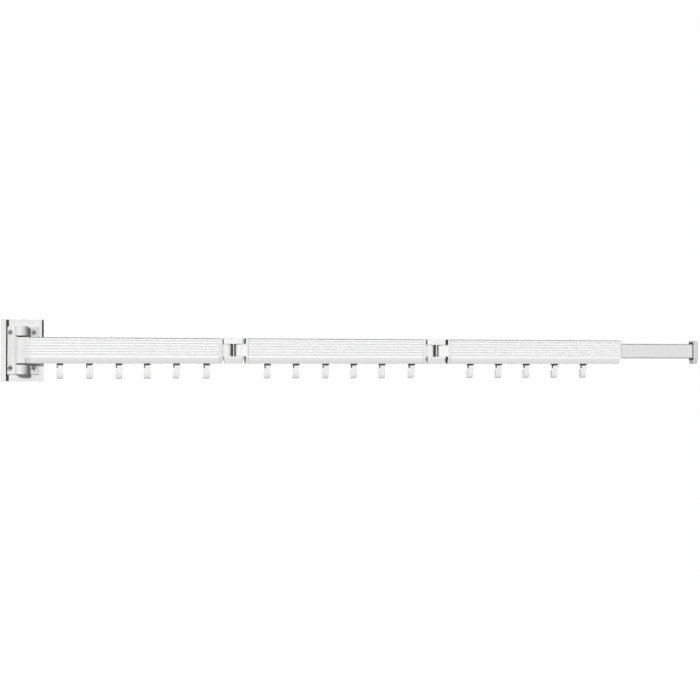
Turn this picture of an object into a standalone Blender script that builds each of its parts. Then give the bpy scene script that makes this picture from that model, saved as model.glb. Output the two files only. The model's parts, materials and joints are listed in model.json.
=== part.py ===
"""Folding wall rail: three hinged rails with a telescopic end and sliding hooks.

The back of the wall plate lies in the plane y = 0 and the arm is in front of it, on the -Y side.
The arm runs along +X from the wall pivot, straight, with the rod drawn out.  The rails' mid height
is z = 0.  All sizes are in metres.
"""
import math

import bmesh
import bpy

# Gap kept between pieces that touch or run in one another
FIT = 0.0003

# Rail section
RAIL_WIDTH = 0.0165
RAIL_HEIGHT = 0.0380
RAIL_WALL = 0.0016
RAIL_CORNER = 0.0025
TAPER_HEIGHT = 0.0088
FOOT_WIDTH = 0.0086
SLOT_MOUTH = 0.0040
SLOT_WIDTH = 0.0064
SLOT_LIP = 0.0014
SLOT_DEPTH = 0.0036

# Ribbing on the rail's sides
GROOVE_TOP = 0.0046
GROOVE_PITCH = 0.0041
GROOVE_FOOT = 0.0036
GROOVE_WIDTH = 0.0014
GROOVE_DEPTH = 0.0006

# Rail lengths, and the fittings in the rails' ends
RAIL_1_LENGTH = 0.274
RAIL_2_LENGTH = 0.274
RAIL_3_LENGTH = 0.288
ROOT_BLOCK = 0.0111
COLLAR_LENGTH = 0.0040
SPIGOT_LENGTH = 0.0200

# Hinge links between the rails
FOLD_GAP = 0.0010
LINK_INSET = 0.00025
LINK_END = 0.0065
LINK_CORNER = 0.0040
LINK_TOP_PLATE = 0.0087
LINK_SHOULDER = 0.0019
LINK_FOOT_INSET = 0.0022
LINK_WEB = 0.0016
LINK_WEB_INSET = 0.0010
LINK_CORE = 0.0060
LINK_PIN_RADIUS = 0.0030
LINK_PIN_RECESS = 0.0005
TONGUE_RADIUS = 0.0050
SWING_GAP = 0.0005

# Wall hinge: its pivot stands off the wall, and to one side of the plate's middle
PIVOT_OFFSET = 0.0210
PIVOT_SIDE = -0.0011
KNUCKLE_RADIUS = 0.0090
KNUCKLE_HEIGHT = 0.0140
BUSH_FLANGE = 0.0014
BUSH_FLANGE_RADIUS = 0.0078
BUSH_WALL = 0.0012
PIVOT_PIN_RADIUS = 0.0035
PIVOT_HEAD_RADIUS = 0.0065
PIVOT_HEAD_HEIGHT = 0.0022
PIVOT_PIN_RECESS = 0.0005

# Wall plate and bracket
PLATE_WIDTH = 0.0604
PLATE_HEIGHT = 0.0900
PLATE_FLOOR = 0.0040
LIP_WIDTH = 0.0076
LIP_HEIGHT = 0.0075
RELIEF_WIDTH = 0.0035
RELIEF_DEPTH = 0.0024
BRACKET_GAP = 0.0012
BRACKET_SEAT = 0.0006
BRACKET_THICKNESS = 0.0030
SCREW_RADIUS = 0.0022
SCREW_INSET = 0.0045
SCREW_PITCH = 0.0332
SCREW_EDGE = 0.0090
SCREW_SINK = 0.0014
SINK_RADIUS = 0.0040
SINK_DEPTH = 0.0020

# Telescopic end
BUSHING_LENGTH = 0.0240
BUSHING_SIDE = 0.0011
BUSHING_TOP = 0.0032
BUSHING_FLANGE = 0.0040
BUSHING_RIM = 0.0008
ROD_REACH = 0.1270
ROD_INSERT = 0.1200
ROD_WALL = 0.0013
ROD_CORNER = 0.0016
ROD_PLUG = 0.0100
SHOE_LENGTH = 0.0120
CAP_THICKNESS = 0.0085

# Hooks on each rail: the first and last hooks' distances from the rail's ends, and how far each hook
# of the row hangs from an even spacing between them, as the photo shows it
HOOK_START_1 = 0.0430
HOOK_END_1 = 0.0175
HOOK_SHIFTS_1 = (0.0, -0.0007, -0.0009, -0.0026, -0.0023, 0.0)
HOOK_START_2 = 0.0300
HOOK_END_2 = 0.0170
HOOK_SHIFTS_2 = (0.0, -0.0014, -0.0008, -0.0017, -0.0021, 0.0)
HOOK_START_3 = 0.0350
HOOK_END_3 = 0.0610
HOOK_SHIFTS_3 = (0.0, -0.0010, -0.0020, -0.0015, 0.0)

# Sizes of the hooks and their gliders
HOOK_WIDTH = 0.0095
HOOK_STRIP = 0.0018
HOOK_GAP = 0.0054
HOOK_DROP = 0.0225
HOOK_BEND = 0.0100
HOOK_TIP = 0.0023
TANG_WIDTH = 0.0050
TANG_WALL = 0.0006
GLIDER_FLANGE = 0.0018
CHEEK_WIDTH = 0.0015
CHEEK_HEIGHT = 0.0042
CHEEK_PROUD = 0.0009

# Facets of round shapes
ROUND_STEPS = 24
CORNER_STEPS = 4
BEND_STEPS = 8
SMOOTH_ANGLE = math.radians(35)

# Overlap of shapes that are joined, and reach of a cutter past what it cuts
OVERLAP = 0.0010

# Levels of the rail section
RAIL_TOP = RAIL_HEIGHT / 2
RAIL_BOTTOM = -RAIL_HEIGHT / 2
TAPER_TOP = RAIL_BOTTOM + TAPER_HEIGHT
LIP_TOP = RAIL_BOTTOM + SLOT_LIP
SLOT_TOP = LIP_TOP + SLOT_DEPTH
CAVITY_TOP = RAIL_TOP - RAIL_WALL
CAVITY_HALF = RAIL_WIDTH / 2 - RAIL_WALL

# Rod section, which is what the bushing leaves free in the rail
ROD_HALF = CAVITY_HALF - FIT - BUSHING_SIDE - FIT
ROD_TOP = CAVITY_TOP - FIT - BUSHING_TOP - FIT
ROD_BOTTOM = TAPER_TOP + FIT

# Hinge link: pivots apart by a rail's width, ends short enough to turn past the collars
LINK_PITCH = RAIL_WIDTH + FOLD_GAP
LINK_HALF = RAIL_WIDTH / 2 - LINK_INSET
LINK_CORE_HALF = LINK_PITCH / 2 - TONGUE_RADIUS - SWING_GAP
LINK_SWEEP = math.hypot(LINK_END - LINK_CORNER, LINK_HALF - LINK_CORNER) + LINK_CORNER
HINGE_REACH = LINK_SWEEP + SWING_GAP
LINK_TOP_FACE = RAIL_TOP - LINK_TOP_PLATE
LINK_BOTTOM_FACE = TAPER_TOP + LINK_SHOULDER

# Wall hinge stack
BUSH_RADIUS = PIVOT_PIN_RADIUS + FIT + BUSH_WALL
KNUCKLE_LOW = RAIL_TOP + FIT + BUSH_FLANGE + FIT
KNUCKLE_HIGH = KNUCKLE_LOW + KNUCKLE_HEIGHT
LIP_INSIDE = PLATE_WIDTH / 2 - LIP_WIDTH
BRACKET_LEFT = BRACKET_GAP - LIP_INSIDE
BRACKET_RIGHT = LIP_INSIDE - BRACKET_SEAT
BRACKET_BACK = -PLATE_FLOOR - FIT
BRACKET_FRONT = BRACKET_BACK - BRACKET_THICKNESS
SCREW_LEFT = BRACKET_LEFT + SCREW_INSET
SCREW_RIGHT = SCREW_LEFT + SCREW_PITCH
SCREW_Z = KNUCKLE_HIGH - SCREW_EDGE

# Distances along the arm, each from the body's own pivot
RAIL_1_START = ROOT_BLOCK + FIT
RAIL_1_END = RAIL_1_START + RAIL_1_LENGTH
LINK_1_PIVOT = RAIL_1_END + FIT + COLLAR_LENGTH + HINGE_REACH
NEXT_RAIL_START = HINGE_REACH + COLLAR_LENGTH + FIT
RAIL_2_END = NEXT_RAIL_START + RAIL_2_LENGTH
LINK_2_PIVOT = RAIL_2_END + FIT + COLLAR_LENGTH + HINGE_REACH
RAIL_3_END = NEXT_RAIL_START + RAIL_3_LENGTH
ROD_MOUTH = RAIL_3_END + FIT + BUSHING_FLANGE


def arc(cx, cy, radius, start, end, steps):
    """Points on a circle between two angles in degrees, both ends included."""
    angles = [math.radians(start + (end - start) * i / steps) for i in range(steps + 1)]
    return [(cx + radius * math.cos(a), cy + radius * math.sin(a)) for a in angles]


def bend(cx, cy, half_width, height, start, end):
    """Points on the lower half of an ellipse between two angles in degrees, both ends included."""
    return [(cx + half_width * u, cy + height * v) for u, v in arc(0, 0, 1, start, end, BEND_STEPS)]


def circle(radius, cx=0.0, cy=0.0):
    """Closed round outline."""
    return arc(cx, cy, radius, 0, 360, ROUND_STEPS)[:-1]


def rounded_box(low_u, high_u, low_v, high_v, radius):
    """Closed rectangle with round corners."""
    inner_low_u = low_u + radius
    inner_high_u = high_u - radius
    inner_low_v = low_v + radius
    inner_high_v = high_v - radius
    return (arc(inner_high_u, inner_high_v, radius, 0, 90, CORNER_STEPS)
            + arc(inner_low_u, inner_high_v, radius, 90, 180, CORNER_STEPS)
            + arc(inner_low_u, inner_low_v, radius, 180, 270, CORNER_STEPS)
            + arc(inner_high_u, inner_low_v, radius, 270, 360, CORNER_STEPS))


def mirrored(right_half):
    """Closed outline from its right half, which runs from the middle line round to it again."""
    return right_half + [(-u, v) for u, v in reversed(right_half)]


def along(axis, u, v, distance):
    """Point at section coordinates u and v, at a distance along the named axis."""
    if axis == "X":
        return (distance, u, v)
    if axis == "Y":
        return (u, distance, v)
    return (u, v, distance)


def prism(axis, low, high, outline, holes=()):
    """Straight solid of one section, with through holes, between two distances along an axis."""
    shape = bmesh.new()
    rims = {low: [], high: []}
    for loop in (outline, *holes):
        ends = {end: [shape.verts.new(along(axis, u, v, end)) for u, v in loop] for end in rims}
        for i in range(len(loop)):
            shape.faces.new((ends[low][i - 1], ends[low][i], ends[high][i], ends[high][i - 1]))
        for end, verts in ends.items():
            rims[end] += [shape.edges.get((verts[i - 1], verts[i])) for i in range(len(verts))]
    for edges in rims.values():
        bmesh.ops.triangle_fill(shape, use_beauty=True, edges=edges)
    return outward(shape)


def block(low, high):
    """Plain box between two corners."""
    outline = [(low[0], low[1]), (high[0], low[1]), (high[0], high[1]), (low[0], high[1])]
    return prism("Z", low[2], high[2], outline)


def loft(axis, sections):
    """Solid through a row of outlines, given as (distance, outline), with equal numbers of points."""
    shape = bmesh.new()
    loops = [[shape.verts.new(along(axis, u, v, d)) for u, v in outline] for d, outline in sections]
    for first, second in zip(loops, loops[1:]):
        for i in range(len(first)):
            shape.faces.new((first[i - 1], first[i], second[i], second[i - 1]))
    shape.faces.new(loops[0])
    shape.faces.new(loops[-1])
    return outward(shape)


def turned(section):
    """Ring turned about the Z axis from its closed section of radius and height."""
    shape = bmesh.new()
    loops = [[shape.verts.new((x, y, z)) for x, y in circle(radius)] for radius, z in section]
    for k, second in enumerate(loops):
        first = loops[k - 1]
        for i in range(ROUND_STEPS):
            shape.faces.new((first[i - 1], first[i], second[i], second[i - 1]))
    return outward(shape)


def outward(shape):
    """The same shape with all its faces pointing out."""
    bmesh.ops.recalc_face_normals(shape, faces=shape.faces)
    return shape


def as_mesh(name, shape):
    """Mesh of a shape, shaded smooth across its shallow edges."""
    mesh = bpy.data.meshes.new(name)
    shape.to_mesh(mesh)
    shape.free()
    mesh.shade_smooth()
    mesh.set_sharp_from_angle(angle=SMOOTH_ANGLE)
    return mesh


def linked(name, data, parent=None, location=(0, 0, 0)):
    """Object in the scene, placed from its parent's origin."""
    obj = bpy.data.objects.new(name, data)
    bpy.context.scene.collection.objects.link(obj)
    obj.parent = parent
    obj.location = location
    return obj


def boolean(base, tool, operation):
    """Shape left when a tool is joined to a base or cut from it."""
    target = linked("base", as_mesh("base", base))
    other = linked("tool", as_mesh("tool", tool))
    modifier = target.modifiers.new("shape", "BOOLEAN")
    modifier.operation = operation
    modifier.solver = "EXACT"
    modifier.object = other
    bpy.context.view_layer.update()
    depsgraph = bpy.context.evaluated_depsgraph_get()
    mesh = bpy.data.meshes.new_from_object(target.evaluated_get(depsgraph))
    result = bmesh.new()
    result.from_mesh(mesh)
    for data in (target.data, other.data, mesh):
        bpy.data.meshes.remove(data)
    return result


def joined(base, *others):
    """Union of overlapping shapes."""
    for other in others:
        base = boolean(base, other, "UNION")
    return base


def cut(base, *tools):
    """What is left of a shape after its cutters."""
    for tool in tools:
        base = boolean(base, tool, "DIFFERENCE")
    return base


def finish(name, colour, roughness, metallic):
    """Plain surface finish."""
    material = bpy.data.materials.new(name)
    material.use_nodes = True
    shader = material.node_tree.nodes["Principled BSDF"]
    shader.inputs["Base Color"].default_value = (*colour, 1.0)
    shader.inputs["Roughness"].default_value = roughness
    shader.inputs["Metallic"].default_value = metallic
    return material


def piece(name, shape, material, parent=None, location=(0, 0, 0)):
    """Named sub-part with its finish."""
    mesh = as_mesh(name, shape)
    mesh.materials.append(material)
    return linked(name, mesh, parent, location)


def slot_side():
    """Right half of the glider slot, from its ceiling down to its mouth."""
    return [(SLOT_WIDTH / 2, SLOT_TOP), (SLOT_WIDTH / 2, LIP_TOP),
            (SLOT_MOUTH / 2, LIP_TOP), (SLOT_MOUTH / 2, RAIL_BOTTOM)]


def groove_heights():
    """Heights of the ribbing's grooves from the lowest up, as many as the plain side has room for."""
    room = RAIL_HEIGHT - TAPER_HEIGHT - GROOVE_TOP - GROOVE_FOOT
    count = int(room / GROOVE_PITCH) + 1
    return [RAIL_TOP - GROOVE_TOP - GROOVE_PITCH * i for i in reversed(range(count))]


def rail_side(heights):
    """Right half of the rail's outside, from the foot up, with a groove at each height."""
    half = RAIL_WIDTH / 2
    points = [(FOOT_WIDTH / 2, RAIL_BOTTOM), (half, TAPER_TOP)]
    for z in heights:
        points += [(half, z - GROOVE_WIDTH / 2), (half - GROOVE_DEPTH, z - GROOVE_WIDTH / 4),
                   (half - GROOVE_DEPTH, z + GROOVE_WIDTH / 4), (half, z + GROOVE_WIDTH / 2)]
    corner = arc(half - RAIL_CORNER, RAIL_TOP - RAIL_CORNER, RAIL_CORNER, 0, 90, CORNER_STEPS)
    return points + corner


def cavity_outline(inset):
    """Upper hollow of the rail, drawn in by an inset: square on its floor, round at its top corners."""
    half = CAVITY_HALF - inset
    top = CAVITY_TOP - inset
    corner = arc(half - RAIL_WALL, top - RAIL_WALL, RAIL_WALL, 0, 90, CORNER_STEPS)
    return mirrored([(half, TAPER_TOP + inset)] + corner)


def smooth_outline():
    """Rail's outside without its ribbing, as on the collars and the end cap."""
    return mirrored(rail_side(()))


def rail(start, length):
    """Ribbed rail with its upper hollow and its glider slot."""
    outline = mirrored(slot_side() + rail_side(groove_heights()))
    return prism("X", start, start + length, outline, [cavity_outline(0.0)])


def spigot(start, end):
    """Plug that fills the rail's upper hollow."""
    return prism("X", start, end, cavity_outline(FIT))


def taper_cutter(start, end, side):
    """Wedge that gives one side of a full block the rail's tapered foot."""
    half = side * RAIL_WIDTH / 2
    slope = (RAIL_WIDTH - FOOT_WIDTH) / 2 / TAPER_HEIGHT
    below = RAIL_BOTTOM - OVERLAP
    foot = half - side * slope * (TAPER_TOP - below)
    outside = half + side * OVERLAP
    outline = [(half, TAPER_TOP), (outside, TAPER_TOP), (outside, below), (foot, below)]
    return prism("X", start, end, outline)


def root_barrel():
    """Round end of the first rail: it turns on the wall pivot and plugs into the rail."""
    half = RAIL_WIDTH / 2
    plan = arc(0, 0, half, 90, 270, ROUND_STEPS // 2) + [(ROOT_BLOCK, -half), (ROOT_BLOCK, half)]
    shape = prism("Z", RAIL_BOTTOM, RAIL_TOP, plan, [circle(BUSH_RADIUS + FIT)])
    shape = joined(shape, spigot(ROOT_BLOCK - OVERLAP, RAIL_1_START + SPIGOT_LENGTH))
    wedges = [taper_cutter(BUSH_RADIUS + OVERLAP, ROOT_BLOCK + OVERLAP, side) for side in (-1, 1)]
    return cut(shape, *wedges)


def tongue_fitting(rail_end, toward):
    """Collar, plug and hinge tongue on a rail's end; toward is +1 where the pivot lies at higher x."""
    near = rail_end + toward * FIT
    far = near + toward * COLLAR_LENGTH
    pivot = far + toward * HINGE_REACH
    collar = prism("X", min(near, far), max(near, far), smooth_outline())
    inner = near - toward * SPIGOT_LENGTH
    root = near + toward * OVERLAP
    plug = spigot(min(inner, root), max(inner, root))
    first = 90 + 90 * toward
    tip = arc(pivot, 0, TONGUE_RADIUS, first - 90, first - 270, ROUND_STEPS // 2)
    start = far - toward * COLLAR_LENGTH / 2
    plan = tip + [(start, -toward * TONGUE_RADIUS), (start, toward * TONGUE_RADIUS)]
    tongue = prism("Z", LINK_BOTTOM_FACE + FIT, LINK_TOP_FACE - FIT, plan,
                   [circle(LINK_PIN_RADIUS + FIT, cx=pivot)])
    return joined(collar, plug, tongue)


def link_outline(inset_x, inset_y):
    """Plan of a link plate, drawn in from its ends and sides."""
    return rounded_box(-LINK_END + inset_x, LINK_PITCH + LINK_END - inset_x,
                       -LINK_HALF + inset_y, LINK_HALF - inset_y, LINK_CORNER - max(inset_x, inset_y) / 2)


def hinge_link():
    """H-shaped link: top plate, tapered bottom plate, and a web with a core between them."""
    top = prism("Z", LINK_TOP_FACE, RAIL_TOP, link_outline(0.0, 0.0))
    foot_inset = (RAIL_WIDTH - FOOT_WIDTH) / 2
    bottom = loft("Z", [(RAIL_BOTTOM, link_outline(LINK_FOOT_INSET, foot_inset)),
                        (TAPER_TOP, link_outline(0.0, 0.0)), (LINK_BOTTOM_FACE, link_outline(0.0, 0.0))])
    middle = LINK_PITCH / 2
    web_half = LINK_HALF - LINK_WEB_INSET
    low = LINK_BOTTOM_FACE - OVERLAP
    high = LINK_TOP_FACE + OVERLAP
    web = block((middle - LINK_WEB / 2, -web_half, low), (middle + LINK_WEB / 2, web_half, high))
    core = block((middle - LINK_CORE_HALF, -LINK_CORE / 2, low - OVERLAP / 2),
                 (middle + LINK_CORE_HALF, LINK_CORE / 2, high + OVERLAP / 2))
    bores = [prism("Z", RAIL_BOTTOM - OVERLAP, RAIL_TOP + OVERLAP, circle(LINK_PIN_RADIUS + FIT, cx=x))
             for x in (0.0, LINK_PITCH)]
    return cut(joined(top, web, core, bottom), *bores)


def link_pin():
    """Hinge pin of a link, on its own axis."""
    return prism("Z", RAIL_BOTTOM + LINK_PIN_RECESS, RAIL_TOP - LINK_PIN_RECESS, circle(LINK_PIN_RADIUS))


def screw_places():
    """Centres of the wall screws, as x and z."""
    return [(x, z) for x in (SCREW_LEFT, SCREW_RIGHT) for z in (-SCREW_Z, SCREW_Z)]


def sink_radius(depth):
    """Radius of a screw's conical seat at a depth below the bracket's face."""
    return SINK_RADIUS - (SINK_RADIUS - SCREW_RADIUS - FIT) * depth / SINK_DEPTH


def screw_room():
    """Cutters for the wall screws, through the plate and the bracket with its conical seats."""
    levels = [(BRACKET_FRONT - OVERLAP, sink_radius(-OVERLAP)),
              (BRACKET_FRONT + SINK_DEPTH, sink_radius(SINK_DEPTH)), (OVERLAP, sink_radius(SINK_DEPTH))]
    return [loft("Y", [(y, circle(radius, x, z)) for y, radius in levels]) for x, z in screw_places()]


def pin_room():
    """Cutter for the pivot pin: its bore through both knuckles and the well for its head."""
    bore = circle(PIVOT_PIN_RADIUS + FIT, PIVOT_SIDE, -PIVOT_OFFSET)
    well = circle(PIVOT_HEAD_RADIUS + FIT, PIVOT_SIDE, -PIVOT_OFFSET)
    floor = KNUCKLE_HIGH - PIVOT_HEAD_HEIGHT - FIT
    return loft("Z", [(-KNUCKLE_HIGH - OVERLAP, bore), (floor, bore), (floor, well),
                      (KNUCKLE_HIGH + OVERLAP, well)])


def wall_plate():
    """Upright channel: a floor, a lip down each side and a relief groove beside the left lip."""
    half = PLATE_WIDTH / 2
    groove = RELIEF_WIDTH - LIP_INSIDE
    below = RELIEF_DEPTH - PLATE_FLOOR
    outline = [(half, 0.0), (half, -LIP_HEIGHT), (LIP_INSIDE, -LIP_HEIGHT), (LIP_INSIDE, -PLATE_FLOOR),
               (groove, -PLATE_FLOOR), (groove, below), (-LIP_INSIDE, below), (-LIP_INSIDE, -LIP_HEIGHT),
               (-half, -LIP_HEIGHT), (-half, 0.0)]
    return cut(prism("Z", -PLATE_HEIGHT / 2, PLATE_HEIGHT / 2, outline), *screw_room())


def hinge_bracket():
    """Plate in the channel with an upper and a lower knuckle for the wall pivot."""
    plate = block((BRACKET_LEFT, BRACKET_FRONT, -KNUCKLE_HIGH), (BRACKET_RIGHT, BRACKET_BACK, KNUCKLE_HIGH))
    root = BRACKET_FRONT + BRACKET_THICKNESS / 2
    plan = arc(PIVOT_SIDE, -PIVOT_OFFSET, KNUCKLE_RADIUS, 180, 360, ROUND_STEPS // 2)
    plan += [(PIVOT_SIDE + KNUCKLE_RADIUS, root), (PIVOT_SIDE - KNUCKLE_RADIUS, root)]
    upper = prism("Z", KNUCKLE_LOW, KNUCKLE_HIGH, plan)
    lower = prism("Z", -KNUCKLE_HIGH, -KNUCKLE_LOW, plan)
    return cut(joined(plate, upper, lower), pin_room(), *screw_room())


def wall_screw():
    """Countersunk screw on its own axis, from its seat in the bracket to the back of the plate."""
    shank = circle(SCREW_RADIUS)
    head = circle(sink_radius(SCREW_SINK) - FIT)
    return loft("Y", [(-FIT, shank), (BRACKET_FRONT + SINK_DEPTH, shank), (BRACKET_FRONT + SCREW_SINK, head)])


def pivot_pin():
    """Pin with its head let into the upper knuckle, down through the bush into the lower knuckle."""
    shank = circle(PIVOT_PIN_RADIUS)
    head = circle(PIVOT_HEAD_RADIUS)
    seat = KNUCKLE_HIGH - PIVOT_HEAD_HEIGHT
    tail = PIVOT_PIN_RECESS - KNUCKLE_HIGH
    return loft("Z", [(tail, shank), (seat, shank), (seat, head), (KNUCKLE_HIGH, head)])


def pivot_bush():
    """Sleeve in the barrel with a thrust flange below; its top keeps the barrel off the upper knuckle."""
    bore = PIVOT_PIN_RADIUS + FIT
    under = RAIL_BOTTOM - FIT
    section = [(bore, under - BUSH_FLANGE), (BUSH_FLANGE_RADIUS, under - BUSH_FLANGE),
               (BUSH_FLANGE_RADIUS, under), (BUSH_RADIUS, under),
               (BUSH_RADIUS, KNUCKLE_LOW - FIT), (bore, KNUCKLE_LOW - FIT)]
    return turned(section)


def saddle(half, top, radius, foot):
    """Closed outline of a saddle over the rod, open below, from its outer size."""
    inner_half = ROD_HALF + FIT
    inner_top = ROD_TOP + FIT
    outer = [(half, foot)] + arc(half - radius, top - radius, radius, 0, 90, CORNER_STEPS)
    inner = [(inner_half, foot)] + arc(inner_half - ROD_CORNER, inner_top - ROD_CORNER, ROD_CORNER,
                                       0, 90, CORNER_STEPS)
    left_outer = [(-u, v) for u, v in reversed(outer)]
    left_inner = [(-u, v) for u, v in inner]
    return outer + left_outer + left_inner + inner[::-1]


def rod_bushing():
    """Saddle bushing in the mouth of the last rail, with a chamfered flange outside."""
    foot = TAPER_TOP + FIT
    inside = saddle(CAVITY_HALF - FIT, CAVITY_TOP - FIT, RAIL_WALL, foot)
    flange = saddle(RAIL_WIDTH / 2, RAIL_TOP, RAIL_CORNER, foot)
    rim = saddle(ROD_HALF + FIT + BUSHING_RIM, ROD_TOP + FIT + BUSHING_RIM, ROD_CORNER, foot)
    inner_end = RAIL_3_END - BUSHING_LENGTH
    seat = RAIL_3_END + FIT
    return loft("X", [(inner_end, inside), (seat, inside), (seat, flange), (ROD_MOUTH, rim)])


def rod_outline(inset):
    """Rod's section, drawn in by an inset."""
    half = ROD_HALF - inset
    return rounded_box(-half, half, ROD_BOTTOM + inset, ROD_TOP - inset, ROD_CORNER - inset / 2)


def extension_rod():
    """Flat tube, from its inner end to the back of the end cap."""
    inner_end = -ROD_INSERT - BUSHING_FLANGE
    return prism("X", inner_end, ROD_REACH - FIT, rod_outline(0.0), [rod_outline(ROD_WALL)])


def rod_plug(start, end):
    """Plug in an end of the rod's tube."""
    return prism("X", start, end, rod_outline(ROD_WALL + FIT))


def rod_shoe():
    """Guide on the rod's inner end, which runs in the rail's hollow."""
    end = -ROD_INSERT - BUSHING_FLANGE - FIT
    body = spigot(end - SHOE_LENGTH, end)
    return joined(body, rod_plug(end - OVERLAP, end + ROD_PLUG))


def rod_end_cap():
    """Cap with the rail's outline, plugged into the rod."""
    cap = prism("X", ROD_REACH, ROD_REACH + CAP_THICKNESS, smooth_outline())
    return joined(cap, rod_plug(ROD_REACH - ROD_PLUG, ROD_REACH + OVERLAP))


def hook():
    """Flat strip bent to a J, with a tang above and a notch for the glider's cheek.

    The origin is on the rail's bottom, above the shank.
    """
    half = HOOK_STRIP / 2
    top = -FIT - GLIDER_FLANGE - FIT
    inner = HOOK_GAP / 2
    outer = inner + HOOK_STRIP
    centre = half + inner
    level = HOOK_BEND - HOOK_DROP
    tip = level + HOOK_TIP
    outline = [(-half, top)] + bend(centre, level, outer, HOOK_BEND, 180, 360)
    outline += [(centre + outer, tip), (centre + inner, tip)]
    outline += bend(centre, level, inner, HOOK_BEND - HOOK_STRIP, 360, 180) + [(half, top)]
    strip = prism("X", -HOOK_WIDTH / 2, HOOK_WIDTH / 2, outline)
    notch = block((-HOOK_WIDTH / 2 - OVERLAP, -HOOK_STRIP, top - CHEEK_HEIGHT - FIT),
                  (-HOOK_WIDTH / 2 + CHEEK_WIDTH + FIT, HOOK_STRIP, top + OVERLAP))
    tang_half = tang_thickness() / 2
    tang = block((-TANG_WIDTH / 2, -tang_half, top - OVERLAP), (TANG_WIDTH / 2, tang_half, tang_top()))
    return joined(cut(strip, notch), tang)


def tang_thickness():
    """Thickness of the tang, which leaves a wall on both sides inside the glider's neck."""
    return SLOT_MOUTH - 2 * FIT - 2 * TANG_WALL - 2 * FIT


def tang_top():
    """How far the tang reaches above the rail's bottom, up into the glider's head."""
    return SLOT_LIP + SLOT_DEPTH / 2


def glider():
    """Runner with a head in the slot, a neck in its mouth, a flange below and a cheek beside the hook."""
    head_half = SLOT_WIDTH / 2 - FIT
    neck_half = SLOT_MOUTH / 2 - FIT
    flange_half = FOOT_WIDTH / 2
    flange_bottom = -FIT - GLIDER_FLANGE
    head_bottom = SLOT_LIP + FIT
    head_top = SLOT_LIP + SLOT_DEPTH - FIT
    right = [(flange_half, flange_bottom), (flange_half, -FIT), (neck_half, -FIT),
             (neck_half, head_bottom), (head_half, head_bottom), (head_half, head_top)]
    body = prism("X", -HOOK_WIDTH / 2, HOOK_WIDTH / 2, mirrored(right))
    cheek = block((-HOOK_WIDTH / 2, -HOOK_STRIP / 2 - CHEEK_PROUD, flange_bottom - FIT - CHEEK_HEIGHT),
                  (-HOOK_WIDTH / 2 + CHEEK_WIDTH, HOOK_STRIP / 2, flange_bottom + OVERLAP))
    pocket_half = tang_thickness() / 2 + FIT
    pocket = block((-TANG_WIDTH / 2 - FIT, -pocket_half, flange_bottom - OVERLAP),
                   (TANG_WIDTH / 2 + FIT, pocket_half, tang_top() + FIT))
    return cut(joined(body, cheek), pocket)


def hook_places(first, last, shifts):
    """Places of a row of hooks: evenly spaced from the first to the last, each moved by its own shift."""
    pitch = (last - first) / (len(shifts) - 1)
    return [first + number * pitch + shift for number, shift in enumerate(shifts)]


def hang_hooks(rows, strip, black):
    """One hook and one glider at each place, numbered along the arm; rows are (parent, places)."""
    hook_mesh = as_mesh("hook", hook())
    hook_mesh.materials.append(strip)
    glider_mesh = as_mesh("glider", glider())
    glider_mesh.materials.append(black)
    places = [(parent, x) for parent, row in rows for x in row]
    for number, (parent, x) in enumerate(places, start=1):
        linked(f"hook_{number:02d}", hook_mesh, parent, (x, 0, RAIL_BOTTOM))
        linked(f"glider_{number:02d}", glider_mesh, parent, (x, 0, RAIL_BOTTOM))


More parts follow.
